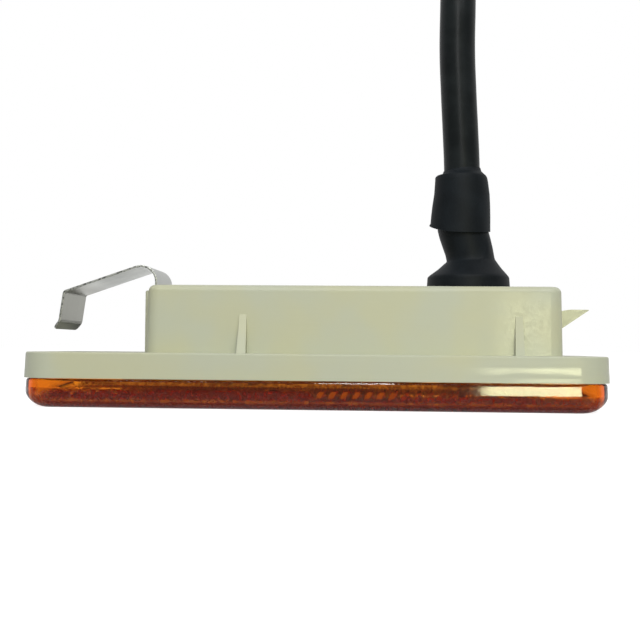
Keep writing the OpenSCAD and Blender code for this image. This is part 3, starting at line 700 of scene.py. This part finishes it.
def remove(objects):
    """Deletes objects and their meshes."""
    for gone in objects:
        mesh = gone.data
        bpy.data.objects.remove(gone)
        bpy.data.meshes.remove(mesh)


def evaluated(thing):
    """A bmesh of an object with its modifiers applied."""
    graph = bpy.context.evaluated_depsgraph_get()
    bm = bmesh.new()
    bm.from_object(thing, graph)
    return bm


def merge(bm, distance, angle):
    """Merges doubles and dissolves the edges inside flat faces."""
    bmesh.ops.remove_doubles(bm, verts=bm.verts, dist=distance)
    bmesh.ops.dissolve_limit(
        bm,
        angle_limit=math.radians(angle),
        verts=bm.verts,
        edges=bm.edges,
        use_dissolve_boundaries=False,
    )


def shaped(body, changes):
    """Joins tools to a body or cuts them from it, in turn, and returns a clean bmesh."""
    work = solid("work", body)
    tools = []
    for operation, tool in changes:
        other = solid("tool", tool)
        tools.append(other)
        change = work.modifiers.new(operation, "BOOLEAN")
        change.operation = operation
        change.object = other
        change.solver = "MANIFOLD"
    bm = evaluated(work)
    remove([work, *tools])
    merge(bm, 2 * HERE, 0.4)
    return bm


def soften(bm, radius, angle=35, steps=2):
    """Rounds every edge sharper than angle by a small radius."""
    limit = math.radians(angle)
    sharp = [e for e in bm.edges if len(e.link_faces) == 2 and e.calc_face_angle() > limit]
    bevel(bm, sharp, radius, steps, clamp=True)


def piece(name, bm, slots, nodes, smooth_angle=40):
    """The finished object: materials, smooth shading and body, with the nodes it stands for hidden."""
    made = solid(name, bm)
    for slot in slots:
        made.data.materials.append(finishes()[slot])
    made.data.polygons.foreach_set("use_smooth", [True] * len(made.data.polygons))
    made.data.set_sharp_from_angle(angle=math.radians(smooth_angle))
    weigh = made.modifiers.new("weigh", "WEIGHTED_NORMAL")
    weigh.keep_sharp = True
    attach(made, slots[0], nodes)
    return made


def tail_height():
    """Height of the clip's lower end, deep in the housing's pocket."""
    house = settings().housing
    return HOUSING_LOW.z - house.skirt + house.flange_height + house.pocket_height - TAIL_DEPTH


def attach(made, slot, nodes):
    """Puts a piece on the root body and hides the nodes it stands for; its slot is not used."""
    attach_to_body(made, "root")
    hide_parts(*nodes)


def refined(node, slot, radius):
    """A merged copy of a solid of the frame, with its sharp edges rounded."""
    bm = bmesh.new()
    bm.from_mesh(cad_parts[node].data)
    merge(bm, HERE, 0.5)
    if radius:
        soften(bm, radius)
    return piece(node + "_part", bm, [slot], [node])


# Pieces


class MARKERLAMP_OT_stage(bpy.types.Operator):
    """Make the camera, the floor, the softboxes and the white surroundings"""

    bl_idname = "markerlamp.stage"
    bl_label = "Stage"

    WARM, WHITE = (1.0, 1.0, 0.6), (1.0, 1.0, 1.0)
    PLACE = Vector((0.01437, -0.24141, 0.01471))  # where the camera stands
    # Each softbox: its width and height, where it hangs, what it points at, its colour
    SOFTBOXES = {
        "key": ((0.085, 0.075), (0.14, -0.52, 0.045), (0.04, 0, 0.015), WARM),
        "sheen": ((0.07, 0.22), (0.0, -0.57, 0.31), (0.036, 0, 0.09), WHITE),
        "top": ((0.9, 0.6), (0.09, -0.62, 0.72), (0, 0, 0.015), WHITE),
    }
    FLOOR_SIZE, FLOOR_GAP = 4.0, 0.02 * MM
    FLOOR_PAINT = (0.4, 0.4, 0.4)
    BEHIND = (-0.05, 0.03)  # from here to there along Y the floor turns as white as it is behind
    BACKDROP = (-0.15, 0.2)  # the same for the surroundings, as a direction

    def execute(self, context):
        stage = settings().stage
        self.camera(context, stage)
        self.floor(stage)
        self.world(context, stage)
        for name, softbox in self.SOFTBOXES.items():
            self.softbox(name + "_softbox", getattr(stage, name), *softbox)
        context.scene.view_settings.view_transform = "Standard"
        return {"FINISHED"}

    def camera(self, context, stage):
        yaw, pitch, roll = (math.radians(a) for a in (stage.yaw, stage.pitch, stage.roll))
        forward = Vector(
            (-math.sin(yaw) * math.cos(pitch), math.cos(yaw) * math.cos(pitch), math.sin(pitch))
        )
        level = forward.cross(Vector((0, 0, 1))).normalized()
        above = level.cross(forward)
        right = math.cos(roll) * level + math.sin(roll) * above
        up = -math.sin(roll) * level + math.cos(roll) * above
        lens = bpy.data.cameras.new("camera")
        lens.lens = stage.focal
        lens.clip_start = 0.01
        camera = bpy.data.objects.new("camera", lens)
        turn = Matrix((right, up, -forward)).transposed().to_4x4()
        camera.matrix_world = Matrix.Translation(self.PLACE) @ turn
        context.scene.collection.objects.link(camera)
        context.scene.camera = camera

    def floor(self, stage):
        bm = bmesh.new()
        bmesh.ops.create_grid(bm, x_segments=1, y_segments=1, size=self.FLOOR_SIZE)
        bmesh.ops.translate(bm, vec=(0, 0, -self.FLOOR_GAP), verts=bm.verts)
        floor = solid("floor", bm)
        look = Finish("floor_paint")
        paint = look.add("ShaderNodeBsdfDiffuse", None, {"Color": self.FLOOR_PAINT})
        camera, gloss, glass = self.seen_rays(look)
        behind = look.axes()[1].over(*self.BEHIND)
        seen = camera.either(gloss * behind).either(glass * (0.2 + 0.8 * behind))
        shine = {"Color": self.WHITE, "Strength": stage.floor * seen}
        glow = look.add("ShaderNodeEmission", None, shine)
        both = look.add("ShaderNodeAddShader", None, {0: paint, 1: glow})
        floor.data.materials.append(look.finish(both))

    def seen_rays(self, look):
        """1 for the camera's rays, for those that gloss sends on, and for those through glass."""
        rays = look.add("ShaderNodeLightPath").output.node.outputs
        return [Socket(look, rays[f"Is {kind} Ray"]) for kind in ("Camera", "Glossy", "Transmission")]

    def world(self, context, stage):
        world = bpy.data.worlds.new("white_surroundings")
        context.scene.world = world
        look = Finish("white_surroundings", world)
        camera, gloss, glass = self.seen_rays(look)
        way = look.add("ShaderNodeTexCoord", output="Generated")
        parts = look.add("ShaderNodeSeparateXYZ", None, {"Vector": way}, output="Y")
        backdrop = parts.over(*self.BACKDROP)
        shown = camera.either((0.5 * gloss).either(glass) * backdrop)
        lit = stage.front + (stage.back - stage.front) * backdrop
        strength = lit + (1 - lit) * shown
        shine = {"Color": self.WHITE, "Strength": strength}
        glow = look.add("ShaderNodeBackground", None, shine)
        out = look.tree.nodes.new("ShaderNodeOutputWorld")
        look.feed(out.inputs["Surface"], glow)

    def softbox(self, name, power, size, place, aim, tint):
        data = bpy.data.lights.new(name, "AREA")
        data.shape = "RECTANGLE"
        data.size, data.size_y = size
        data.energy = power
        data.color = tint
        lamp = bpy.data.objects.new(name, data)
        lamp.location = place
        lamp.rotation_euler = (Vector(aim) - Vector(place)).to_track_quat("-Z", "Y").to_euler()
        bpy.context.scene.collection.objects.link(lamp)


class MARKERLAMP_OT_lead(bpy.types.Operator):
    bl_idname = "markerlamp.lead"
    bl_label = "Lead and plug"

    IN_PLUG, STRAIGHT = 7.9 * MM, 3 * MM  # how far each wire runs in the plug, and straight before it

    PLUG_PARTS = [
        ("plug_lock", "plug_lock", 0.1 * MM),
        ("plug_seal", "silicone", 0.2 * MM),
        ("wire_seal_left", "silicone", 0.08 * MM),
        ("wire_seal_right", "silicone", 0.08 * MM),
        ("terminal_left", "terminal", 0.05 * MM),
        ("terminal_right", "terminal", 0.05 * MM),
    ]
    EXIT = (0.0367, 0, 0.0604)  # where the sleeve leaves the collar

    def execute(self, context):
        lead = settings().lead
        sleeve = self.tube("lead_sleeve", ROUTE, lead.sleeve, "sleeve", "conduit", 10)
        wires = [self.plug_wire(side, word, lead) for side, word in ((-1, "left"), (1, "right"))]
        end_tube = refined("conduit_end_tube", "shrink_tube", 0.05 * MM)
        plug = refined("plug_housing", "plug", 0.25 * MM)
        others = [refined(node, slot, radius) for node, slot, radius in self.PLUG_PARTS]
        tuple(self.EXIT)
        return {"FINISHED"}

    def run(self, points):
        """How long the route is."""
        return sum((Vector(b) - Vector(a)).length for a, b in zip(points, points[1:]))

    def tube(self, name, points, diameter, slot, node, resolution):
        """A round sleeve or wire along a route."""
        curve = bpy.data.curves.new(name, "CURVE")
        curve.dimensions = "3D"
        curve.bevel_depth = diameter / 2
        curve.bevel_resolution = resolution
        curve.resolution_u = 8
        curve.use_fill_caps = True
        line = curve.splines.new("BEZIER")
        line.bezier_points.add(len(points) - 1)
        for knot, point in zip(line.bezier_points, points):
            knot.co = point
            knot.handle_left_type = knot.handle_right_type = "AUTO"
        tube = bpy.data.objects.new(name, curve)
        bpy.context.scene.collection.objects.link(tube)
        curve.materials.append(finishes()[slot])
        attach(tube, slot, [node])
        return tube

    def plug_wire(self, side, word, lead):
        """One wire, from the sleeve's end through its end tube into the plug."""
        gap = 0.05 * MM
        start = LEAD_END + Vector((gap, side * (lead.wire / 2 + gap), 0))
        neck = start + Vector(((END_TUBE_HIGH.x - END_TUBE_LOW.x) / 2, 0, 0))
        middle = (PLUG_LOW + PLUG_HIGH) / 2
        way = Vector((PLUG_LOW.x, middle.y + side * lead.plug_pitch / 2, middle.z))
        inside = way + Vector((self.IN_PLUG, 0, 0))
        before = way - Vector((self.STRAIGHT, 0, 0))
        points = [start, neck, neck + 0.5 * (way - neck), before, way, inside]
        slot = "wire_black" if side < 0 else "wire_brown"
        return self.tube(f"plug_lead_{word}", points, lead.wire, slot, f"plug_wire_{word}", 6)


class MARKERLAMP_OT_housing(bpy.types.Operator):
    """Make the moulded housing: flange, box, ribs, hook, clip pocket and bulb port"""

    bl_idname = "markerlamp.housing"
    bl_label = "Housing"

    HOOK_RAMP, HOOK_DIP, HOOK_TIP = 3.6 * MM, 0.8 * MM, 0.2 * MM
    PORT = (38.4 * MM, 0)
    PORT_RADIUS, BOSS, BOSS_HEIGHT = 7.55 * MM, 1.8 * MM, 2.2 * MM
    NOTCH_REACH, NOTCH_WIDTH, NOTCHES = 8.25 * MM, 4.5 * MM, 3
    CLEARANCE = 0.25 * MM  # beside and under the clip in its slot
    SLOT_GAP = 0.2 * MM  # on each face of the clip
    POCKET_EDGE = 0.5 * MM

    def execute(self, context):
        size = settings().housing
        rim_low = HOUSING_LOW.z - size.skirt
        self.back = rim_low + size.flange_height
        self.roof = self.back - size.wall
        self.box_left = size.box_middle - size.box_length / 2
        self.box_right = size.box_middle + size.box_length / 2
        flange_l, flange_w = (HOUSING_HIGH - HOUSING_LOW).xy
        body = slab(
            flange_l, flange_w, size.flange_corner, rim_low, self.back, size.flange_lean, steps=14
        )
        round_level(body, self.back, size.flange_edge, 4)
        changes = [("UNION", self.box(size))]
        changes += [("UNION", rib) for rib in self.ribs(size)]
        changes += [("UNION", self.hook(size)), ("UNION", self.pocket(size))]
        changes += [("DIFFERENCE", cut) for cut in self.hollows(size, flange_l, flange_w, rim_low)]
        changes += self.port(size)
        moulding = shaped(body, changes)
        soften(moulding, size.fillet, angle=30, steps=3)
        piece("housing_moulding", moulding, ["housing"], ["housing"])
        return {"FINISHED"}

    def box(self, size):
        bm = slab(
            size.box_length,
            size.box_width,
            size.box_corner,
            self.roof,
            HOUSING_HIGH.z,
            size.box_lean,
            size.box_middle,
        )
        return round_level(bm, HOUSING_HIGH.z, size.box_edge, 6)

    def ribs(self, size):
        """Two ribs on each long side, thinner towards their top."""
        foot = size.box_width / 2 - size.wall / 2
        head = self.back + size.rib_height
        low = self.back - size.wall / 2
        tuck = size.box_width / 2 - 0.5 * size.box_lean
        pairs = (
            (size.rib_near_clip, size.reach_near_clip),
            (size.rib_near_hook, size.reach_near_hook),
        )
        for middle, reach in pairs:
            far = size.box_width / 2 + reach
            outline = [(foot, low), (far, low), (far, self.back), (tuck, head), (foot, head)]
            for side in SIDES:
                points = [(middle - size.rib_thickness / 2, side * y, z) for y, z in outline]
                rib = bar(points, (size.rib_thickness, 0, 0))
                for vert in rib.verts:
                    if vert.co.z > head - HERE:
                        slimmer = size.rib_head / size.rib_thickness
                        vert.co.x = middle + (vert.co.x - middle) * slimmer
                yield rib

    def hook(self, size):
        """A wedge whose top starts in a hollow curve."""
        top = self.back + size.hook_rise
        root = self.box_right - size.box_lean - size.wall / 2
        tip = self.box_right + size.hook_reach
        ramp, dip = self.HOOK_RAMP, self.HOOK_DIP
        radius = (ramp * ramp + dip * dip) / (2 * dip)
        swing = math.asin(ramp / radius)
        outline = [(root, top - size.hook_root), (self.box_right, top - size.hook_root)]
        outline += [(tip, top - self.HOOK_TIP), (tip, top)]
        for step in range(9):
            angle = swing * step / 8
            place = self.box_right + ramp - radius * math.sin(angle)
            outline.append((place, top - radius * (1 - math.cos(angle))))
        outline.append((root, top - dip))
        points = [(x, -size.hook_width / 2, z) for x, z in outline]
        return bar(points, (0, size.hook_width, 0))

    def pocket(self, size):
        """The block on the end wall that holds the clip's tail."""
        half = CLIP_HIGH.y + size.pocket_wall + self.CLEARANCE
        outer = self.box_left - size.pocket_reach
        top = self.back + size.pocket_height
        bm = block((outer, -half, self.roof), (self.box_left + PAST, half, top))
        edges = [e for e in bm.edges if all(v.co.x < outer + HERE for v in e.verts)]
        bevel(bm, edges, self.POCKET_EDGE, 3)
        return bm

    def hollows(self, size, flange_l, flange_w, rim_low):
        """The space in the flange, the one in the box and the clip's slot."""
        below = rim_low - PAST
        yield slab(
            flange_l - 2 * size.rim,
            flange_w - 2 * size.rim,
            size.flange_corner - size.rim,
            below,
            self.roof,
        )
        yield slab(
            size.box_length - 2 * size.wall - size.box_lean,
            size.box_width - 2 * size.wall - size.box_lean,
            size.box_corner - size.wall / 2,
            below,
            HOUSING_HIGH.z - size.wall,
            middle=size.box_middle,
        )
        half = CLIP_HIGH.y + self.CLEARANCE
        strip = settings().clip
        gap = strip.thickness / 2 + self.SLOT_GAP
        yield block(
            (strip.place - gap, -half, tail_height() - self.CLEARANCE),
            (strip.place + gap, half, HOUSING_HIGH.z + PAST),
        )

    def port(self, size):
        """The bulb's port, with a boss inside and three notches for the holder's lugs."""
        roof = HOUSING_HIGH.z - size.wall
        boss_low = roof - self.BOSS_HEIGHT
        boss = drum(self.PORT_RADIUS + self.BOSS, boss_low, roof + size.wall / 2, self.PORT)
        low, high = boss_low - PAST, HOUSING_HIGH.z + PAST
        changes = [("UNION", boss), ("DIFFERENCE", drum(self.PORT_RADIUS, low, high, self.PORT))]
        for notch in range(self.NOTCHES):
            half = self.NOTCH_WIDTH / 2
            cut = block((0, -half, low), (self.NOTCH_REACH, half, high))
            turn = Matrix.Rotation(math.radians(60 + 120 * notch), 4, "Z")
            bmesh.ops.transform(cut, matrix=turn, verts=cut.verts)
            bmesh.ops.translate(cut, vec=(*self.PORT, 0), verts=cut.verts)
            changes.append(("DIFFERENCE", cut))
        return changes


class MARKERLAMP_OT_lens(bpy.types.Operator):
    """Make the amber lens with its domes, prisms and flutes"""

    bl_idname = "markerlamp.lens"
    bl_label = "Lens"

    TOP_EDGE = 0.6 * MM  # radius along the lens's outer top edge
    SUNK = 0.3 * MM  # how deep the optics' feet stand in the lens face
    TONGUE_SUNK = 0.4 * MM
    DOME_GAP = 0.1 * MM  # half of what lies between two domes

    def execute(self, context):
        size = settings().lens
        long, wide = (LENS_HIGH - LENS_LOW).xy
        self.length, self.width = long, wide
        spread = 2 * size.lean * (1 - size.edge / size.height)
        body = slab(
            long + spread, wide + spread, size.corner, 0, size.height, size.lean, steps=14
        )
        round_level(body, 0, size.edge, 9)
        self.lift_ends(body, size)
        round_level(body, size.height, self.TOP_EDGE, 3)
        hollow = slab(
            long - 2 * size.wall,
            wide - 2 * size.wall,
            size.corner - size.wall,
            size.face,
            size.height + PAST,
            steps=12,
        )
        round_level(hollow, size.face, size.edge - size.wall, 6)
        changes = [("DIFFERENCE", hollow), ("UNION", self.tongue(size))]
        changes += [("UNION", optic) for optic in self.optics(size)]
        lens = shaped(body, changes)
        piece("amber_lens", lens, ["lens"], ["lens"], smooth_angle=24)
        return {"FINISHED"}

    def lift_ends(self, body, size):
        """Lets the face's edge rise a little towards the two ends."""
        start = self.length / 2 - size.end_reach
        for vert in body.verts:
            past = max(0.0, abs(vert.co.x) - start) / size.end_reach
            low = max(0.0, 1 - vert.co.z / size.edge)
            vert.co.z += size.end_rise * past**2 * low

    def tongue(self, size):
        """The ring that locates the lens in the housing."""
        flange_l, flange_w = (HOUSING_HIGH - HOUSING_LOW).xy
        corner = settings().housing.flange_corner
        low = size.height - self.TONGUE_SUNK

        def ring_block(inset, low, high):
            return slab(
                flange_l - 2 * inset, flange_w - 2 * inset, corner - inset, low, high, steps=12
            )

        outer = ring_block(size.tongue_inset, low, LENS_HIGH.z)
        inner = ring_block(size.tongue_inset + size.tongue, low - PAST, LENS_HIGH.z + PAST)
        return shaped(outer, [("DIFFERENCE", inner)])

    def optics(self, size):
        """Prisms and domes behind the near wall, and ridges over the rest of the face."""
        start = size.edge - self.width / 2
        floor = size.face
        sunk = floor - self.SUNK
        for step in range(size.prism_count):
            x = size.prism_start + step * size.prism_pitch
            far = x + size.prism_pitch
            points = [(x, floor), (far, floor + size.prism_height), (far, sunk), (x, sunk)]
            yield bar([(px, start, pz) for px, pz in points], (0, size.prism_depth, 0))
        ends = self.length / 2 - size.edge
        prisms_end = size.prism_start + size.prism_count * size.prism_pitch
        yield self.ridges(prisms_end, ends, size.flute_pitch, size.flute_height, start, -start)
        fine = (size.fine_pitch, size.fine_height)
        yield self.ridges(size.prism_start, prisms_end, *fine, start + size.prism_depth, -start)
        behind = start + size.dome_rows * size.dome_pitch
        yield self.ridges(-ends, size.prism_start, *fine, behind, -start)
        yield from self.domes(size, start, ends)

    def ridges(self, left, right, pitch, height, near, far):
        """A ridged plate: one zigzag outline pushed through."""
        floor = settings().lens.face
        sunk = floor - self.SUNK
        count = int((right - left) / pitch)
        points = [(left, sunk), (left, floor)]
        for step in range(count):
            x = left + step * pitch
            points += [(x + pitch / 2, floor + height), (x + pitch, floor)]
        points.append((left + count * pitch, sunk))
        return bar([(x, near, z) for x, z in points], (0, far - near, 0))

    def domes(self, size, start, ends):
        """Rows of domes along the near wall: one arc is spun for each."""
        foot = size.dome_pitch / 2 - self.DOME_GAP
        radius = (foot**2 + size.dome_height**2) / (2 * size.dome_height)
        columns = int((size.prism_start + ends) / size.dome_pitch)
        for row in range(size.dome_rows):
            line = bmesh.new()
            for column in range(columns):
                place = (
                    size.prism_start - size.dome_pitch * (column + 0.5),
                    start + size.dome_pitch * (row + 0.5),
                    size.face,
                )
                self.add_dome(line, place, foot, radius, size.dome_height)
            yield line

    def add_dome(self, bm, place, foot, radius, height):
        """Spins one arc into a closed dome with its foot in the lens face."""
        steps = 5
        sweep = math.asin(foot / radius)
        arc = []
        for step in range(steps + 1):
            angle = sweep * step / steps
            point = (radius * math.sin(angle), 0, height - radius * (1 - math.cos(angle)))
            arc.append(bm.verts.new(Vector(place) + Vector(point)))
        sunk = bm.verts.new(Vector(place) + Vector((foot, 0, -self.SUNK)))
        base = bm.verts.new(Vector(place) + Vector((0, 0, -self.SUNK)))
        chain = [*arc, sunk, base]
        edges = [bm.edges.new(pair) for pair in zip(chain, chain[1:])]
        bmesh.ops.spin(
            bm,
            geom=[*chain, *edges],
            cent=place,
            axis=(0, 0, 1),
            angle=math.tau,
            steps=20,
            use_merge=True,
            use_duplicate=False,
        )
        near = [v for v in bm.verts if (v.co.xy - Vector(place).xy).length < foot * 1.01]
        bmesh.ops.remove_doubles(bm, verts=near, dist=HERE)
        faces = {f for v in near if v.is_valid for f in v.link_faces}
        bmesh.ops.recalc_face_normals(bm, faces=list(faces))


class MARKERLAMP_OT_clip(bpy.types.Operator):
    """Make the spring clip from one bent strip"""

    bl_idname = "markerlamp.clip"
    bl_label = "Spring clip"

    FOOT_CORNER, RIM_EDGE = 1.4 * MM, 0.06 * MM

    def execute(self, context):
        size = settings().clip
        bm = bmesh.new()
        tail = tail_height()
        ends = [bm.verts.new((size.place, side * size.width / 2, tail)) for side in SIDES]
        edge = bm.edges.new(ends)
        heading = 90.0
        rise = HOUSING_HIGH.z + size.rise - tail
        edge = self.go(bm, edge, heading, rise)
        edge, heading = self.turn(bm, edge, heading, size.bend, 90 + size.slope, 18)
        edge = self.go(bm, edge, heading, size.arm)
        edge, heading = self.turn(bm, edge, heading, size.fold, 90 - size.slope - size.lean, 8)
        edge = self.go(bm, edge, heading, size.leg)
        edge, heading = self.turn(bm, edge, heading, size.flick, -size.kick, 6)
        edge = self.go(bm, edge, heading, size.foot)
        bevel(bm, list(edge.verts), self.FOOT_CORNER, 8, affect="VERTICES")
        outwards(bm)
        self.thicken(bm, size)
        piece("clip_strip", bm, ["spring_steel", "sheared_edge"], ["spring_clip"], smooth_angle=30)
        return {"FINISHED"}

    def go(self, bm, edge, heading, distance):
        """Draws the strip's end edge straight on."""
        angle = math.radians(heading)
        made = bmesh.ops.extrude_edge_only(bm, edges=[edge])
        verts = [v for v in made["geom"] if isinstance(v, bmesh.types.BMVert)]
        move = Vector((math.cos(angle), 0, math.sin(angle))) * distance
        bmesh.ops.translate(bm, vec=move, verts=verts)
        return next(e for e in made["geom"] if isinstance(e, bmesh.types.BMEdge))

    def turn(self, bm, edge, heading, radius, angle, steps):
        """Bends the strip on from its end edge."""
        side = math.radians(heading + (90 if angle > 0 else -90))
        middle = (edge.verts[0].co + edge.verts[1].co) / 2
        centre = middle + Vector((math.cos(side), 0, math.sin(side))) * radius
        made = bmesh.ops.spin(
            bm,
            geom=[edge, *edge.verts],
            cent=centre,
            axis=(0, -1, 0),
            angle=math.radians(angle),
            steps=steps,
            use_duplicate=False,
        )
        last = next(e for e in made["geom_last"] if isinstance(e, bmesh.types.BMEdge))
        return last, heading + angle

    def thicken(self, bm, size):
        """Gives the strip its thickness, and marks its narrow faces as sheared."""
        outwards(bm)
        for vert in bm.verts:
            vert.normal_update()
        half = size.thickness / 2
        places = {v: v.co + v.normal * half for v in bm.verts}
        for vert, place in places.items():
            vert.co = place
        bmesh.ops.solidify(bm, geom=bm.faces[:], thickness=size.thickness)
        outwards(bm)
        rims = [f for f in bm.faces if min(e.calc_length() for e in f.edges) < 1.2 * size.thickness]
        for face in rims:
            longest = max(e.calc_length() for e in face.edges)
            if face.calc_area() < 1.05 * longest * size.thickness and abs(face.normal.y) > 0.2:
                face.material_index = 1
        soften(bm, self.RIM_EDGE, angle=50)


class MARKERLAMP_OT_boot(bpy.types.Operator):
    """Make the rubber boot and the tube that is shrunk over its top"""

    bl_idname = "markerlamp.boot"
    bl_label = "Boot and collar"

    BOOT_WALL, COLLAR_WALL = 1.1 * MM, 0.6 * MM
    FOLD = [(43.2, 0, 42.1), (42.9, 0, 38.9), (40.8, 0, 35.8)]
    FOLD_HEIGHT, FOLD_REACH = 0.28 * MM, 0.7 * MM
    # Each section of the boot: place along X, height, radius and tilt, in millimetres and degrees
    BOOT = [
        (38.4, 29.65, 10.45, 0), (38.4, 29.9, 10.48, 0), (38.4, 31.6, 10.34, 0),
        (38.4, 32.6, 10.28, 0), (38.4, 32.9, 10.15, 0), (38.5, 33.4, 9.7, 0),
        (38.75, 35.0, 7.95, -1), (38.95, 36.5, 6.6, -2), (39.0, 36.95, 6.2, -3),
        (38.98, 37.4, 6.02, -4), (38.6, 39.4, 6.0, -9), (37.95, 41.6, 6.1, -11),
        (37.3, 43.7, 6.2, -9), (36.9, 45.2, 6.25, -5), (36.75, 47, 6.22, 0), (36.7, 53, 6.2, 0),
    ]
    # Each section of the collar: the same four, how far its front leans down, and the flare and the
    # lift of its left side
    COLLAR = [
        (36.72, 44.75, 7.2, 1.5, 9.0, 1.1, 1.0), (36.75, 45.9, 7.15, 1.0, 7.0, 0.8, 0.5),
        (36.8, 48.3, 7.1, 0.5, 4.0, 0.75, 0), (36.82, 51.0, 7.02, 0, 1.5, 0.55, 0),
        (36.8, 54.0, 6.9, 0, 0, 0.2, 0), (36.6, 57.2, 6.68, 0, 0, 0, 0),
        (36.52, 58.2, 6.56, 0.5, 0, 0, 0), (36.52, 58.6, 6.3, 0, 0, 0, 0),
        (36.6, 58.95, 5.6, -2.5, 0, 0, 0), (36.68, 59.4, 4.95, -4.5, 0, 0, 0),
        (36.7, 60.2, 4.72, -5, 0, 0, 0),
    ]

    def execute(self, context):
        boot = self.loft([(*section, 0, 0, 0) for section in self.BOOT])
        self.crease(boot)
        self.wall(boot, self.BOOT_WALL)
        piece("rubber_boot", boot, ["boot_rubber"], ["boot"], smooth_angle=50)
        collar = self.loft(self.COLLAR)
        self.wall(collar, self.COLLAR_WALL)
        piece("shrunk_collar", collar, ["shrink_tube"], ["collar"], smooth_angle=50)
        return {"FINISHED"}

    def loft(self, sections, sides=64):
        """One skin through round sections."""
        bm = bmesh.new()
        last = None
        for x, z, radius, tilt, dip, flare, lift in sections:
            ring = bmesh.ops.create_circle(bm, segments=sides, radius=radius * MM)["verts"]
            for vert in ring:
                left = max(0.0, -vert.co.x / (radius * MM))
                vert.co.x -= flare * MM * left**2
                vert.co.z += lift * MM * left**4
            for angle, axis in ((dip, "X"), (tilt, "Y")):
                turn = Matrix.Rotation(math.radians(angle), 4, axis)
                bmesh.ops.transform(bm, matrix=turn, verts=ring)
            bmesh.ops.translate(bm, vec=(x * MM, 0, z * MM), verts=ring)
            edges = list({e for v in ring for e in v.link_edges})
            if last:
                bmesh.ops.bridge_loops(bm, edges=last + edges)
            last = edges
        outwards(bm)
        return bm

    def crease(self, bm):
        """Raises the low fold that runs down the boot's front."""
        fold = [Vector(point) * MM for point in self.FOLD]
        bmesh.ops.subdivide_edges(bm, edges=bm.edges, cuts=1, use_grid_fill=True)
        for vert in bm.verts:
            if vert.co.y > 0:
                continue
            spot = Vector((vert.co.x, 0, vert.co.z))
            gap = min(self.gap(spot, a, b) for a, b in zip(fold, fold[1:]))
            vert.co.y -= self.FOLD_HEIGHT * math.exp(-((gap / self.FOLD_REACH) ** 2))

    def gap(self, spot, a, b):
        """Distance from a spot to the stretch from a to b."""
        along = b - a
        t = max(0.0, min(1.0, (spot - a).dot(along) / along.length_squared))
        return (spot - a - along * t).length

    def wall(self, bm, thickness):
        """Gives a skin its thickness, inwards."""
        outwards(bm)
        bmesh.ops.solidify(bm, geom=bm.faces[:], thickness=thickness)
        outwards(bm)


class MARKERLAMP_OT_bulb(bpy.types.Operator):
    """Finish the bulb, its holder and the wires inside the boot"""

    bl_idname = "markerlamp.bulb"
    bl_label = "Bulb and holder"

    # Solids of the frame that are shown as they are, with their finish
    KEPT = {
        "holder_seal": "seal_rubber",
        "contact_left": "contact_brass",
        "contact_right": "contact_brass",
        "bulb_filament": "filament",
        "bulb_lead_left": "lead_wire",
        "bulb_lead_right": "lead_wire",
        "lamp_wire_left": "wire_black",
        "lamp_wire_right": "wire_brown",
    }

    def execute(self, context):
        refined("bulb_holder", "holder", 0.15 * MM)
        refined("bulb_glass", "bulb_glass", 0)
        for node, slot in self.KEPT.items():
            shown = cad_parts[node]
            shown.data.materials.clear()
            shown.data.materials.append(finishes()[slot])
        return {"FINISHED"}


class MARKERLAMP_PT_panel(bpy.types.Panel):
    """The lamp's pieces and sizes"""

    bl_label = "Marker lamp"
    bl_idname = "MARKERLAMP_PT_panel"
    bl_space_type = "VIEW_3D"
    bl_region_type = "UI"
    bl_category = "Marker lamp"

    def draw(self, context):
        for maker in MAKERS:
            self.layout.operator(maker.bl_idname)
        for name, group in GROUPS.items():
            part = self.layout.box()
            part.label(text=name.capitalize())
            for key in group.__annotations__:
                part.prop(getattr(context.scene.marker_lamp, name), key)


MAKERS = (
    MARKERLAMP_OT_stage,
    MARKERLAMP_OT_lead,
    MARKERLAMP_OT_housing,
    MARKERLAMP_OT_lens,
    MARKERLAMP_OT_clip,
    MARKERLAMP_OT_boot,
    MARKERLAMP_OT_bulb,
)
CLASSES = (*GROUPS.values(), MarkerLamp, *MAKERS, MARKERLAMP_PT_panel)


def register():
    for each in CLASSES:
        bpy.utils.register_class(each)
    bpy.types.Scene.marker_lamp = PointerProperty(type=MarkerLamp)


def unregister():
    del bpy.types.Scene.marker_lamp
    for each in reversed(CLASSES):
        bpy.utils.unregister_class(each)


def main():
    register()
    bpy.ops.markerlamp.stage()
    bpy.ops.markerlamp.lead()
    bpy.ops.markerlamp.housing()
    bpy.ops.markerlamp.lens()
    bpy.ops.markerlamp.clip()
    bpy.ops.markerlamp.boot()
    bpy.ops.markerlamp.bulb()


if __name__ == "__main__":
    main()
